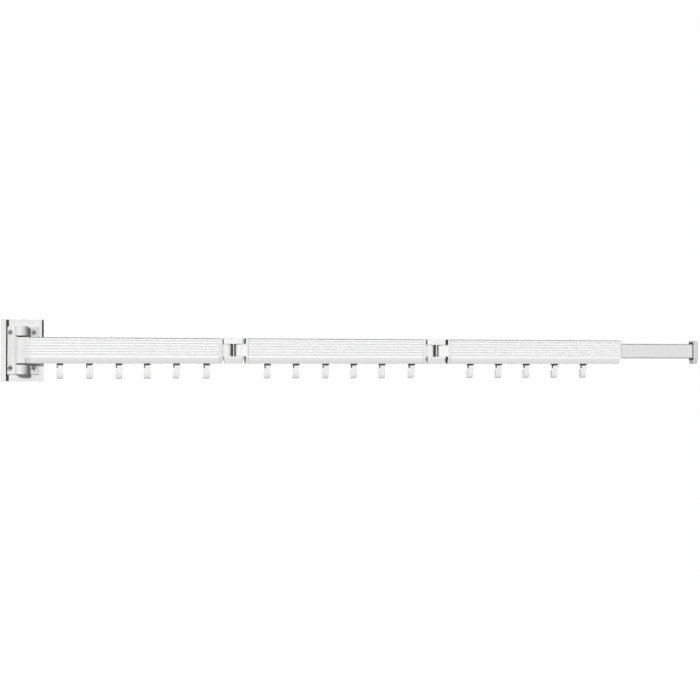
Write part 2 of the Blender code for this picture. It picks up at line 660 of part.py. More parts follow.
def build():
    """All sub-parts, each placed from the pivot that it moves on."""
    silver = finish("anodised_aluminium", (0.86, 0.87, 0.87), 0.38, 0.35)
    cast = finish("painted_zinc", (0.82, 0.83, 0.83), 0.42, 0.2)
    steel = finish("bright_steel", (0.62, 0.63, 0.64), 0.28, 1.0)
    white = finish("white_strip", (0.88, 0.88, 0.87), 0.35, 0.1)
    black = finish("black_nylon", (0.02, 0.02, 0.02), 0.5, 0.0)
    grey = finish("grey_plastic", (0.72, 0.73, 0.73), 0.45, 0.0)

    arm = linked("arm", None, None, (PIVOT_SIDE, -PIVOT_OFFSET, 0))
    first_link = linked("first_link", None, arm, (LINK_1_PIVOT, 0, 0))
    second_rail = linked("second_rail", None, first_link, (LINK_PITCH, 0, 0))
    second_link = linked("second_link", None, second_rail, (LINK_2_PIVOT, 0, 0))
    third_rail = linked("third_rail", None, second_link, (LINK_PITCH, 0, 0))
    rod = linked("rod", None, third_rail, (ROD_MOUTH, 0, 0))

    piece("wall_plate", wall_plate(), silver)
    piece("hinge_bracket", hinge_bracket(), cast)
    for number, (x, z) in enumerate(screw_places(), start=1):
        piece(f"wall_screw_{number}", wall_screw(), steel, None, (x, 0, z))
    piece("pivot_pin", pivot_pin(), steel, None, (PIVOT_SIDE, -PIVOT_OFFSET, 0))
    piece("pivot_bush", pivot_bush(), black, arm)

    piece("rail_1", rail(RAIL_1_START, RAIL_1_LENGTH), silver, arm)
    piece("rail_2", rail(NEXT_RAIL_START, RAIL_2_LENGTH), silver, second_rail)
    piece("rail_3", rail(NEXT_RAIL_START, RAIL_3_LENGTH), silver, third_rail)
    piece("root_barrel", root_barrel(), cast, arm)
    piece("tongue_1_tip", tongue_fitting(RAIL_1_END, 1), cast, arm)
    piece("tongue_2_root", tongue_fitting(NEXT_RAIL_START, -1), cast, second_rail)
    piece("tongue_2_tip", tongue_fitting(RAIL_2_END, 1), cast, second_rail)
    piece("tongue_3_root", tongue_fitting(NEXT_RAIL_START, -1), cast, third_rail)
    for number, link in ((1, first_link), (2, second_link)):
        piece(f"hinge_link_{number}", hinge_link(), cast, link)
        piece(f"link_{number}_pin_a", link_pin(), steel, link)
        piece(f"link_{number}_pin_b", link_pin(), steel, link, (LINK_PITCH, 0, 0))

    piece("rod_bushing", rod_bushing(), grey, third_rail)
    piece("extension_rod", extension_rod(), silver, rod)
    piece("rod_shoe", rod_shoe(), black, rod)
    piece("rod_end_cap", rod_end_cap(), grey, rod)

    row_1 = hook_places(RAIL_1_START + HOOK_START_1, RAIL_1_END - HOOK_END_1, HOOK_SHIFTS_1)
    row_2 = hook_places(NEXT_RAIL_START + HOOK_START_2, RAIL_2_END - HOOK_END_2, HOOK_SHIFTS_2)
    row_3 = hook_places(NEXT_RAIL_START + HOOK_START_3, RAIL_3_END - HOOK_END_3, HOOK_SHIFTS_3)
    hang_hooks([(arm, row_1), (second_rail, row_2), (third_rail, row_3)], white, black)


for old in list(bpy.data.objects):
    bpy.data.objects.remove(old)
build()
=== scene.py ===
"""Looks of the folding wall rail: rounded forms, finishes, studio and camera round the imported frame.

Lengths are in metres.  The arm runs along +X at rest, +Y is into the wall and +Z is up.
"""

import json
import math

import bpy
import numpy as np
from mathutils.geometry import tessellate_polygon
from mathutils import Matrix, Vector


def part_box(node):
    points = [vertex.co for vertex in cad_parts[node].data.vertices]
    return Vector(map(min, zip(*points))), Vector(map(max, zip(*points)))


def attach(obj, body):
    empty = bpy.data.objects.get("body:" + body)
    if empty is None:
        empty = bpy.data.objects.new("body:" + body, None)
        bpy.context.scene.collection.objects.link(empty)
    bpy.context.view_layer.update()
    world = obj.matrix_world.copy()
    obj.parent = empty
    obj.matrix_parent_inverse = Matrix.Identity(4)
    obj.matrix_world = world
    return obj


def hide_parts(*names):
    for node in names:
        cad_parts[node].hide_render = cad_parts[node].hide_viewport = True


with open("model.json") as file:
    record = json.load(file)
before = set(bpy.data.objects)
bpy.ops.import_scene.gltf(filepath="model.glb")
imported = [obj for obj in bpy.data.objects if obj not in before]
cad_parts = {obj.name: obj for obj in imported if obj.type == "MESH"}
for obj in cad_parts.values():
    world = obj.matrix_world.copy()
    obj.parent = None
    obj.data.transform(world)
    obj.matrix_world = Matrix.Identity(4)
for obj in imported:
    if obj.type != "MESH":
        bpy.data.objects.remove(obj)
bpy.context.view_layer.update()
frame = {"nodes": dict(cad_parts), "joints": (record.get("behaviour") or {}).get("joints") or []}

# Places taken from the frame
PIVOT_X = {joint["name"]: joint["pos_m"][0] for joint in frame["joints"] if joint["type"] == "hinge"}
PIVOT = PIVOT_X["base_swing"]
RAIL_LOW, RAIL_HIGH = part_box("rail_1")
AXIS_Y = (RAIL_LOW.y + RAIL_HIGH.y) / 2
RAIL_HALF = (RAIL_HIGH.y - RAIL_LOW.y) / 2
RAIL_TOP = RAIL_HIGH.z
RAIL_BOTTOM = RAIL_LOW.z
ROD_LOW, ROD_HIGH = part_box("extension_rod")
ROD_HALF = (ROD_HIGH.y - ROD_LOW.y) / 2
HOOK_COUNT = sum(name.startswith("hook_") for name in frame["nodes"])
SCREW_COUNT = sum(name.startswith("wall_screw_") for name in frame["nodes"])

# Shared by all pieces: clearance, usual rounding of a rim, height of a sharp step between two rings, and how
# far a shell is drawn in where it would share a surface with another of the same piece
FIT = 0.0003
EDGE = 0.0004
STEP = 0.0001
APART = 0.00005

# Rail section
TAPER_TOP = RAIL_BOTTOM + 0.0088
FOOT_HALF = 0.0043
FOOT_CUT = 0.0005
TOP_CORNER = 0.0025
WALL = 0.0016
MOUTH_HALF = 0.0020
SLOT_HALF = 0.0032
SLOT_LIP_TOP = RAIL_BOTTOM + 0.0014
SLOT_TOP = RAIL_BOTTOM + 0.0050
SLOT_CUT = 0.0003
GROOVE_TOP = RAIL_TOP - 0.0046
GROOVE_PITCH = 0.0041
GROOVE_COUNT = 6
GROOVE_WIDTH = 0.0021
GROOVE_DEPTH = 0.0013
RAIL_EDGE = 0.00012

# End fittings and hinge links
COLLAR = 0.0040
PLUG = 0.0200
TONGUE_RADIUS = 0.0050
TONGUE_EDGE = 0.0005
# Black facings on the collars' end faces paint the shade in the gaps to the hinge links
FACING = 0.0003
FACING_INSET = 0.0002
FACING_CORNER = 0.0020
LINK_END = 0.0065
LINK_HALF = RAIL_HALF - 0.00025
LINK_CORNER = 0.0040
LINK_TOP_FACE = RAIL_TOP - 0.0087
LINK_LOW_FACE = TAPER_TOP + 0.0019
LINK_FOOT_INSET = 0.0022
LINK_EDGE = 0.0006
LINK_RIM = 0.0004
LINK_WEB_HALF = 0.0005
LINK_WEB_INSET = 0.0010
LINK_WEB_SINK = 0.0010
# Black core behind each link's web and black pads on its plates' ends paint the shade in the gaps
LINK_CORE_HALF = 0.00325
LINK_CORE_SIDE = 0.0030
LINK_CORE_SINK = 0.0005
LINK_INSIDE_CUT = 0.0005
LINK_PAD = 0.0001
LOW_PAD_INSET = 0.0005
TOP_PAD_INSET = 0.0007
LINK_PIN_RADIUS = 0.0030
PIN_CHAMFER = 0.0005

# Wall hinge
KNUCKLE_RADIUS = 0.0090
KNUCKLE_LOW = RAIL_TOP + 0.0020
KNUCKLE_EDGE = 0.0010
BARREL_NOSE_END = 0.0044
BARREL_EDGE = 0.0009
BARREL_TUCK = 0.0002
BARREL_TUCK_LENGTH = 0.0010
PIN_RADIUS = 0.0035
PIN_HEAD_RADIUS = 0.0065
PIN_HEAD_HEIGHT = 0.0022
SLEEVE_RADIUS = 0.0050
SLEEVE_EDGE = 0.0002
FLANGE_EDGE = 0.0003

# Wall plate, bracket plate and screws
PLATE_FLOOR = 0.0040
PLATE_BACK = 0.0016
PLATE_EDGE = 0.0003
PLATE_CORNER = 0.0006
LIP_WIDTH = 0.0076
LIP_CORNER = 0.0004
RELIEF_WIDTH = 0.0035
# Black strips on the wall plate paint the lip's shadow in the relief groove and a shade line along the right
# lip
STRIP_FRONT = 0.0030
STRIP_EDGE = 0.0002
LIP_SHADE_WIDTH = 0.0028
LIP_SHADE_DEPTH = 0.0010
LIP_SHADE_PROUD = 0.0001
LIP_SHADE_INSET = 0.00002
BRACKET_THICKNESS = 0.0030
BRACKET_CORNER = 0.0008
SCREW_HOLE = 0.0025
SINK_RADIUS = 0.0040
SINK_DEPTH = 0.0020
HEAD_DEPTH = 0.0006
SCREW_CHAMFER = 0.0003
RECESS_REACH = 0.0019
RECESS_HALF = 0.00045
RECESS_DEPTH = 0.0009
RECESS_END_SLOPE = 0.0004
RECESS_SIDE_SLOPE = 0.00015

# Telescopic end
ROD_CORNER = 0.0016
ROD_WALL = 0.0013
ROD_EDGE = 0.0002
ROD_BORE_CORNER = 0.0008
ROD_LINES = 4
ROD_LINE_WIDTH = 0.0011
ROD_LINE_DEPTH = 0.0002
SHOE_EDGE = 0.0008
TAIL_OVERLAP = 0.0010
CAP_RIM = 0.0002
CAP_FLANGE = 0.0004
CAP_SEAM_DEPTH = 0.0011
CAP_SEAM_END = 0.0013
CAP_BODY = 0.0018
CAP_ROUND = 0.0016
# Black sheet on the cap's inner face paints the shade round the rod's end
SHADE_SHEET = 0.0002
SHADE_SHEET_INSET = 0.0014
SHADE_SHEET_MARGIN = 0.0026
SHADE_SHEET_CORNER = 0.0016
BUSHING_CHAMFER = 0.0003
BUSHING_FLANGE = 0.0012
BUSHING_LIP = 0.0008

# Hooks and gliders
HOOK_STRIP_HALF = 0.0009
HOOK_GAP_HALF = 0.0027
HOOK_BEND = 0.0100
HOOK_TIP = 0.0023
HOOK_TIP_CORNER = 0.0006
SHANK_TOP = RAIL_BOTTOM - 0.0024
SHANK_EDGE = 0.0002
SHANK_OVERLAP = 0.0006
NOTCH_BOTTOM = SHANK_TOP - 0.0045
NOTCH_WIDTH = 0.0018
TANG_HALF = 0.0025
TANG_SIDE = 0.0008
TANG_CUT = 0.0002
TANG_OVERLAP = 0.0010
GLIDER_FLANGE = 0.0018
GLIDER_EDGE = 0.0003
CHEEK_WIDTH = 0.0015
CHEEK_FRONT = AXIS_Y - 0.0018
CHEEK_OVERLAP = 0.0008

# Painted shade on the anodised pieces: its grey tone, the shares of it that a groove's floor and the tapered
# foot take, how deep below the flank a point still belongs to a groove and not to the hollow, and the part of
# a rounded edge that takes the tone whole as a painted dark reflection, by the distance from the level at
# which the edge ends
PAINTED_SHADE_TONE = "#8E9090"
GROOVE_SHADE = 0.34
FOOT_SHADE = 0.20
DEEPEST_GROOVE = 1.1 * GROOVE_DEPTH
EDGE_SHADE_START = 0.0002
EDGE_SHADE_END = 0.0012

# Depth of the bumps in the finishes
BUMP_DEPTH = 0.0002

# Facets, the innermost ring of a screw's face as a share of its radius, spacing of points up a flank, and the
# angle from which an edge stays sharp
ROUND = 64
HOLE_STEPS = 32
CORNER_STEPS = 8
ROD_CORNER_STEPS = 6
CUT_STEPS = 5
SMALL_CUT_STEPS = 3
EDGE_STEPS = 3
RAIL_EDGE_STEPS = 2
ROUND_EDGE_STEPS = 4
BEND_STEPS = 28
HEAD_STEPS = 120
HEAD_RINGS = 40
HEAD_CENTRE = 0.02
SIDE_SPACING = 0.00025
CREASE = math.radians(42)

# Share of a short side that rounding keeps to, and least divisor of an offset at a sharp corner
SHARE_OF_SIDE = 0.45
SHARPEST = 0.4

# Studio: strength of the surround's light on the object, the floor and its glow, and the lamps, each with its
# strength, its spread and its direction in degrees to the left of the plate's front and above the horizon
SURROUND_LIGHT = 0.01
FLOOR_REACH = 2.4
FLOOR_LEVEL = -0.90
GLOW_START = 0.6
GLOW_END = 1.6
LEAST_GLOW = 0.6
LAMPS = (("key", 2.55, 6, 15, 13), ("fill", 0.62, 30, 50, 16), ("back", 2.60, 10, 215, -6))

# Camera: sensor and lens in millimetres, place, and tilt and turn in degrees
SENSOR = 36.0
LENS = 61.71
CAMERA_PLACE = (0.0575, -1.8177, -0.0255)
CAMERA_TILT = 90.855
CAMERA_TURN = -13.453


def arc(cu, cv, radius, start, end, steps):
    """Points of an arc: its centre plus the radius times (cos, sin) of evenly spaced angles in degrees."""
    angle = np.radians(np.linspace(start, end, steps + 1))
    return np.column_stack((cu + radius * np.cos(angle), cv + radius * np.sin(angle)))


def circle(radius, cu=0.0, cv=0.0, steps=ROUND):
    """Closed round outline."""
    return arc(cu, cv, radius, 0, 360, steps)[:-1]


def softened(corners, cut, closed=True, steps=CUT_STEPS):
    """Outline with rounded corners: a corner P becomes the parabola (1-s)^2 A + 2s(1-s) P + s^2 B, where A
    and B lie on its two sides at the cut length from P, or at a share of a side that is too short."""
    p = np.asarray(corners, float)
    back = np.roll(p, 1, 0) - p
    ahead = np.roll(p, -1, 0) - p
    back_length = np.linalg.norm(back, axis=1)
    ahead_length = np.linalg.norm(ahead, axis=1)
    a = p + back * (np.minimum(cut, SHARE_OF_SIDE * back_length) / back_length)[:, None]
    b = p + ahead * (np.minimum(cut, SHARE_OF_SIDE * ahead_length) / ahead_length)[:, None]
    s = np.linspace(0, 1, steps + 1)[None, :, None]
    curves = (1 - s) ** 2 * a[:, None] + 2 * s * (1 - s) * p[:, None] + s ** 2 * b[:, None]
    if closed:
        return curves.reshape(-1, 2)
    return np.concatenate((p[:1], curves[1:-1].reshape(-1, 2), p[-1:]))


def box_outline(low_u, high_u, low_v, high_v, cut):
    """Closed rectangle with rounded corners."""
    return softened([(high_u, low_v), (high_u, high_v), (low_u, high_v), (low_u, low_v)], cut)


def mirrored(side):
    """Closed outline from its right side, which runs upward from the middle line to the middle line."""
    return np.concatenate((side, side[::-1] * (-1, 1)))


def on_axis(outline):
    """Section outline set on the rails' axis."""
    return outline + (AXIS_Y, 0.0)


def anticlockwise(loop):
    """The loop in the direction that gives it a positive area by the shoelace formula."""
    ahead = np.roll(loop, -1, 0)
    area = (loop[:, 0] * ahead[:, 1] - loop[:, 1] * ahead[:, 0]).sum()
    return loop if area > 0 else loop[::-1]


def inward(loop):
    """Offset directions of a loop: (m + n) / (1 + m.n) from the left-hand normals m and n of a point's two
    sides, where the divisor is kept from falling too low."""
    side = np.roll(loop, -1, 0) - loop
    side /= np.linalg.norm(side, axis=1, keepdims=True)
    n = np.column_stack((-side[:, 1], side[:, 0]))
    m = np.roll(n, 1, 0)
    return (m + n) / np.maximum(1 + (m * n).sum(1), SHARPEST)[:, None]


def quarter_round(radius, steps):
    """Rings of a rounded rim: at angle t of the quarter, a ring is drawn in by radius (1 - sin t) at
    radius (1 - cos t) from the end."""
    t = np.radians(np.linspace(0, 90, steps + 1))
    return radius * (1 - np.sin(t)), radius * (1 - np.cos(t))


def facing_out(points, faces):
    """The shell with its faces turned out: all are reversed where the signed volume, a sum of tetrahedra from
    the origin, is negative."""
    corners = [points[f[:, :3]] for f in faces] + [points[f[:, [0, 2, 3]]] for f in faces if f.shape[1] == 4]
    t = np.concatenate(corners)
    volume = (t[:, 0] * np.cross(t[:, 1], t[:, 2])).sum()
    return points, faces if volume > 0 else [f[:, ::-1] for f in faces]


def lofted(axis, levels, outer, holes=()):
    """Closed surface through rings of section points: grid point (k, i) is point i of ring k at that ring's
    level along the axis.  The first and last rings are filled round the holes' rings."""
    loops = [np.asarray(loop) for loop in (outer, *holes)]
    count = len(levels)
    level_rows = np.asarray(levels, float).reshape(count, -1)
    sizes = [loop.shape[1] for loop in loops]
    starts = np.cumsum([0] + [count * n for n in sizes[:-1]])
    points = []
    faces = []
    for loop, n, start in zip(loops, sizes, starts):
        level = np.broadcast_to(level_rows, (count, n))[:, :, None]
        points.append(np.concatenate((loop, level), axis=2).reshape(-1, 3))
        i = np.arange(n)
        row = start + n * np.arange(count - 1)[:, None]
        here = (row + i).ravel()
        ahead = (row + (i + 1) % n).ravel()
        faces.append(np.column_stack((here, ahead, ahead + n, here + n)))
    for k in (0, count - 1):
        rims = [loop[k] for loop in loops]
        flat = np.concatenate(rims)
        index = np.concatenate([start + k * n + np.arange(n) for n, start in zip(sizes, starts)])
        cap = np.array(tessellate_polygon([rim.tolist() for rim in rims]))
        first, second, third = (flat[cap[:, c]] for c in range(3))
        u = second - first
        v = third - first
        wrong = (u[:, 0] * v[:, 1] - u[:, 1] * v[:, 0] > 0) == (k == 0)
        cap[wrong] = cap[wrong][:, ::-1]
        faces.append(index[cap])
    order = {"X": [2, 0, 1], "Y": [0, 2, 1], "Z": [0, 1, 2]}[axis]
    return facing_out(np.concatenate(points)[:, order], faces)


def slab(axis, start, end, outline, holes=(), edge=EDGE, steps=EDGE_STEPS):
    """Straight solid between two levels, given in either order, with rounded rims."""
    inset, rise = quarter_round(edge, steps)
    insets = np.concatenate((inset, inset[::-1]))[:, None, None]
    levels = np.concatenate((min(start, end) + rise, max(start, end) - rise[::-1]))
    outer = anticlockwise(outline)
    inner = [anticlockwise(hole)[::-1] for hole in holes]
    hole_rings = [hole + insets * inward(hole) for hole in inner]
    return lofted(axis, levels, outer + insets * inward(outer), hole_rings)


def turned(axis, cu, cv, profile):
    """Round solid: the ring at each level of the profile is a circle of that radius about the centre."""
    radius, level = np.asarray(profile, float).T
    return lofted(axis, level, radius[:, None, None] * circle(1.0) + (cu, cv))


def piece(name, body, nodes, slot, material, *shells):
    """New piece in place of CAD nodes, which rides on their body, with all its shells in one mesh."""
    starts = np.cumsum([0] + [len(points) for points, _ in shells[:-1]])
    points = np.concatenate([points for points, _ in shells])
    groups = [group + start for start, (_, faces) in zip(starts, shells) for group in faces]
    mesh = bpy.data.meshes.new(name)
    mesh.from_pydata(points.tolist(), [], [face for group in groups for face in group.tolist()])
    mesh.shade_smooth()
    mesh.set_sharp_from_angle(angle=CREASE)
    mesh.materials.append(material)
    obj = bpy.data.objects.new(name, mesh)
    bpy.context.scene.collection.objects.link(obj)
    obj.modifiers.new("flat faces", "WEIGHTED_NORMAL").keep_sharp = True
    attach(obj, body)
    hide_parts(*nodes)
    return obj


def groove_depth(z, middles, width, depth):
    """How deep grooves are at heights z: depth cos^2(pi d / width) at a distance d from the nearest groove's
    middle, out to half the width."""
    d = np.abs(z[:, None] - middles).min(axis=1)
    return np.where(d < width / 2, depth * np.cos(np.pi * d / width) ** 2, 0.0)


def edge_shade(distance):
    """Whole painted shade, standing for a dark reflection, on part of a rounded edge, by each point's
    distance from the level at which it ends.
    """
    return np.where((distance > EDGE_SHADE_START) & (distance < EDGE_SHADE_END), 1.0, 0.0)


def rail_shade(y, z):
    """Painted shade of a rail's points: in a groove in proportion to its depth, and on the tapered side
    growing evenly to the foot, with a painted dark reflection on the rounded top edges."""
    depth = RAIL_HALF - np.abs(y - AXIS_Y)
    flank = (z > TAPER_TOP + GROOVE_WIDTH / 2) & (z < RAIL_TOP - TOP_CORNER) & (depth < DEEPEST_GROOVE)
    grooves = np.where(flank, GROOVE_SHADE * depth / GROOVE_DEPTH, 0.0)
    fall = np.clip((TAPER_TOP - z) / (TAPER_TOP - RAIL_BOTTOM), 0, 1)
    return grooves + FOOT_SHADE * fall + edge_shade(RAIL_TOP - z)


def rod_shade(_, z):
    """Painted dark reflection on the rod's rounded edges, as a shade for each point."""
    return edge_shade(ROD_HIGH.z - z) + edge_shade(z - ROD_LOW.z)


def store_shade(obj, shade):
    """Stores each point's painted shade, a function of its y and z, for the finish to mix into the colour."""
    flat = np.empty(3 * len(obj.data.vertices))
    obj.data.vertices.foreach_get("co", flat)
    _, y, z = flat.reshape(-1, 3).T
    obj.data.attributes.new("shade", "FLOAT", "POINT").data.foreach_set("value", shade(y, z))


def rail_foot():
    """Right side of the plain rail section below its flank: the foot's edge and the tapered side."""
    return softened([(0.0, RAIL_BOTTOM), (FOOT_HALF, RAIL_BOTTOM), (RAIL_HALF, TAPER_TOP),
                     (RAIL_HALF, TAPER_TOP + GROOVE_WIDTH)], FOOT_CUT, closed=False)


def slot_and_foot():
    """Right side of the rail section below its flank, from the glider slot's ceiling round to the taper."""
    corners = [(0.0, SLOT_TOP), (SLOT_HALF, SLOT_TOP), (SLOT_HALF, SLOT_LIP_TOP), (MOUTH_HALF, SLOT_LIP_TOP),
               (MOUTH_HALF, RAIL_BOTTOM), (FOOT_HALF, RAIL_BOTTOM), (RAIL_HALF, TAPER_TOP),
               (RAIL_HALF, TAPER_TOP + GROOVE_WIDTH)]
    return softened(corners, SLOT_CUT, closed=False, steps=SMALL_CUT_STEPS)


def top_corner():
    """Rounded upper right corner of the rail section."""
    return arc(RAIL_HALF - TOP_CORNER, RAIL_TOP - TOP_CORNER, TOP_CORNER, 0, 90, CORNER_STEPS)


def plain_section():
    """Rail section without ribbing or slot, as on the collars and the end cap."""
    return on_axis(mirrored(np.concatenate((rail_foot()[1:], top_corner()))))


def ribbed_section(lower_side):
    """Rail section over a given lower side, with flanks whose half width falls by the grooves' depth."""
    z = np.arange(TAPER_TOP + GROOVE_WIDTH, RAIL_TOP - TOP_CORNER, SIDE_SPACING)[1:]
    middles = GROOVE_TOP - GROOVE_PITCH * np.arange(GROOVE_COUNT)
    flank = np.column_stack((RAIL_HALF - groove_depth(z, middles, GROOVE_WIDTH, GROOVE_DEPTH), z))
    return on_axis(mirrored(np.concatenate((lower_side[1:], flank, top_corner()))))


def hollow_section(inset):
    """Upper hollow of the rail, drawn in by an inset."""
    half = RAIL_HALF - WALL - inset
    return on_axis(box_outline(-half, half, TAPER_TOP + inset, RAIL_TOP - WALL - inset, WALL))


def rail(number, body, material):
    """Ribbed extrusion with its hollow and its slot."""
    name = f"rail_{number}"
    low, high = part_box(name)
    section = ribbed_section(slot_and_foot())
    shell = slab("X", low.x, high.x, section, [hollow_section(0.0)], RAIL_EDGE, RAIL_EDGE_STEPS)
    extrusion = piece(f"ribbed_{name}", body, [name], "silver_aluminium", material, shell)
    store_shade(extrusion, rail_shade)


def plug(start, end):
    """Plug that fills the rail's hollow."""
    return slab("X", start, end, hollow_section(FIT))


def collar_shade_facings(face, toward):
    """Thin black facings on a collar's end face, above and below the hinge tongue, which paint the shade in
    the gap to the hinge link.
    """
    half = RAIL_HALF - FACING_INSET
    upper = box_outline(AXIS_Y - half, AXIS_Y + half, LINK_TOP_FACE, RAIL_TOP - FACING_INSET, FACING_CORNER)
    lower = on_axis(mirrored(np.array([(FOOT_HALF - FACING_INSET, RAIL_BOTTOM + FACING_INSET),
                                       (half, TAPER_TOP), (half, LINK_LOW_FACE)])))
    start = face - toward * FACING
    end = face + toward * FACING
    return [slab("X", start, end, outline, edge=STEP) for outline in (upper, lower)]


def end_fitting(node, body, rail_end, toward, pivot, material, shade_facing_material):
    """Collar, plug and hinge tongue on a rail's end, with black facings on the collar, which paint the shade
    in the gap to the hinge link, as a piece of its own; toward is +1 where the pivot lies at higher x, else
    -1."""
    near = rail_end + toward * FIT
    far = near + toward * COLLAR
    collar = slab("X", near, far, plain_section())
    back = far - toward * COLLAR / 2
    tip = arc(pivot, AXIS_Y, TONGUE_RADIUS, -90 * toward, 90 * toward, ROUND // 2)
    tip[:, 0] = pivot + toward * np.abs(tip[:, 0] - pivot)
    plan = np.concatenate((tip, [(back, tip[-1, 1]), (back, tip[0, 1])]))
    bore = [circle(LINK_PIN_RADIUS + FIT, pivot, AXIS_Y)]
    tongue = slab("Z", LINK_LOW_FACE + FIT, LINK_TOP_FACE - FIT, plan, bore, TONGUE_EDGE)
    filling = plug(near - toward * PLUG, near + toward * COLLAR / 4)
    facings = collar_shade_facings(far, toward)
    piece(f"black_shade_facing_{node}", body, [node], "black_nylon", shade_facing_material, *facings)
    piece(f"cast_{node}", body, [node], "cast_fittings", material, collar, tongue, filling)


def root_barrel(material, block_material):
    """Round end of the first rail: an eye on the wall pivot, whose paler copy of the bracket's paint paints
    in the light its rounded side catches, and, as a piece of its own with a paler paint still, a ribbed block
    that runs on to the rail and a plug in its hollow."""
    rail_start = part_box("rail_1")[0].x
    seam = rail_start - FIT
    half = RAIL_HALF - APART
    tucked = half - GROOVE_DEPTH - BARREL_TUCK
    tuck_end = BARREL_NOSE_END + BARREL_TUCK_LENGTH
    plan = np.concatenate((arc(PIVOT, AXIS_Y, half, 90, 270, ROUND // 2),
                           [(BARREL_NOSE_END, AXIS_Y - half), (tuck_end, AXIS_Y - tucked),
                            (tuck_end, AXIS_Y + tucked), (BARREL_NOSE_END, AXIS_Y + half)]))
    bore = [circle(SLEEVE_RADIUS + FIT, PIVOT, AXIS_Y)]
    eye = slab("Z", RAIL_BOTTOM, RAIL_TOP - APART, plan, bore, BARREL_EDGE)
    block = slab("X", BARREL_NOSE_END, seam, ribbed_section(rail_foot()), (), RAIL_EDGE, RAIL_EDGE_STEPS)
    filling = plug(seam - COLLAR / 4, rail_start + PLUG)
    piece("cast_barrel_block", "arm_1", ["root_barrel"], "cast_fittings", block_material, block, filling)
    piece("cast_root_barrel", "arm_1", ["root_barrel"], "cast_fittings", material, eye)


def link_plan(start, end, inset_u, inset_v, cut):
    """Plan of a link plate between its end faces, drawn in from its ends and sides."""
    half = LINK_HALF - inset_v
    return box_outline(start + inset_u, end - inset_u, AXIS_Y - half, AXIS_Y + half, cut)


def link_bottom(start, end, bores):
    """Bottom plate of a link, with the rail's tapered foot: each row is a level and how far the plan is drawn
    in there from its ends and from its sides."""
    foot = RAIL_HALF - FOOT_HALF
    rows = [(RAIL_BOTTOM, LINK_FOOT_INSET + LINK_EDGE, foot + LINK_EDGE),
            (RAIL_BOTTOM + LINK_EDGE / 2, LINK_FOOT_INSET, foot),
            (TAPER_TOP - LINK_RIM, LINK_RIM / 4, LINK_RIM / 2),
            (TAPER_TOP, 0.0, 0.0),
            (LINK_LOW_FACE - LINK_RIM, 0.0, 0.0),
            (LINK_LOW_FACE - LINK_RIM / 4, LINK_RIM / 4, LINK_RIM / 4),
            (LINK_LOW_FACE, LINK_RIM, LINK_RIM)]
    levels = [level for level, _, _ in rows]
    rings = np.array([link_plan(start, end, u, v, LINK_CORNER - v / 2) for _, u, v in rows])
    bore_rings = [np.broadcast_to(bore[::-1], (len(rows), *bore.shape)) for bore in bores]
    return lofted("Z", levels, rings, bore_rings)


def link_shade_pads(start, end):
    """Thin black pads on both ends of a link's two plates, which paint the shade in the gaps to the collars.
    """
    side = LINK_HALF - LINK_CORNER
    heights = ((TAPER_TOP, LINK_LOW_FACE - LOW_PAD_INSET),
               (LINK_TOP_FACE + TOP_PAD_INSET, RAIL_TOP - TOP_PAD_INSET))
    outlines = [box_outline(AXIS_Y - side, AXIS_Y + side, low, high, LINK_INSIDE_CUT)
                for low, high in heights]
    return [slab("X", face - LINK_PAD, face + LINK_PAD, outline, edge=LINK_PAD / 2)
            for face in (start, end) for outline in outlines]


def hinge_link(number, material, shade_core_material):
    """H-shaped link: a top plate, a bottom plate and a web between them.  The black core behind the web and
    the thin black pads on the plates' ends, which paint the shade in the gaps round the web and beside the
    collars, are a piece of their own."""
    a = PIVOT_X[f"link_{number}_fold_a"]
    b = PIVOT_X[f"link_{number}_fold_b"]
    middle = (a + b) / 2
    start = a - LINK_END
    end = b + LINK_END
    bores = [circle(LINK_PIN_RADIUS + FIT, x, AXIS_Y) for x in (a, b)]
    top_plan = link_plan(start, end, 0.0, 0.0, LINK_CORNER)
    top = slab("Z", LINK_TOP_FACE, RAIL_TOP, top_plan, bores, LINK_EDGE)
    web_half = LINK_HALF - LINK_WEB_INSET
    web_plan = box_outline(middle - LINK_WEB_HALF, middle + LINK_WEB_HALF,
                           AXIS_Y - web_half, AXIS_Y + web_half, LINK_INSIDE_CUT)
    web = slab("Z", LINK_LOW_FACE - LINK_WEB_SINK, LINK_TOP_FACE + LINK_WEB_SINK, web_plan)
    core_plan = box_outline(middle - LINK_CORE_HALF, middle + LINK_CORE_HALF,
                            AXIS_Y - LINK_CORE_SIDE, AXIS_Y + LINK_CORE_SIDE, LINK_INSIDE_CUT)
    core = slab("Z", LINK_LOW_FACE - LINK_CORE_SINK, LINK_TOP_FACE + LINK_CORE_SINK, core_plan)
    body = f"link_{number}"
    nodes = [f"hinge_link_{number}"]
    pads = link_shade_pads(start, end)
    bottom = link_bottom(start, end, bores)
    piece(f"black_shade_link_core_{number}", body, nodes, "black_nylon", shade_core_material, core, *pads)
    piece(f"cast_hinge_link_{number}", body, nodes, "cast_fittings", material, top, web, bottom)


def link_pin(number, letter, material):
    """Hinge pin with chamfered ends."""
    node = f"link_{number}_pin_{letter}"
    low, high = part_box(node)
    x = (low.x + high.x) / 2
    profile = [(LINK_PIN_RADIUS - PIN_CHAMFER, low.z), (LINK_PIN_RADIUS, low.z + PIN_CHAMFER),
               (LINK_PIN_RADIUS, high.z - PIN_CHAMFER), (LINK_PIN_RADIUS - PIN_CHAMFER, high.z)]
    pin = turned("Z", x, AXIS_Y, profile)
    piece(f"steel_{node}", f"link_{number}", [node], "steel", material, pin)


def screw_places():
    """Centres of the wall screws, as x and z, in the order of their nodes."""
    boxes = [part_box(f"wall_screw_{n}") for n in range(1, SCREW_COUNT + 1)]
    return [((low.x + high.x) / 2, (low.z + high.z) / 2) for low, high in boxes]


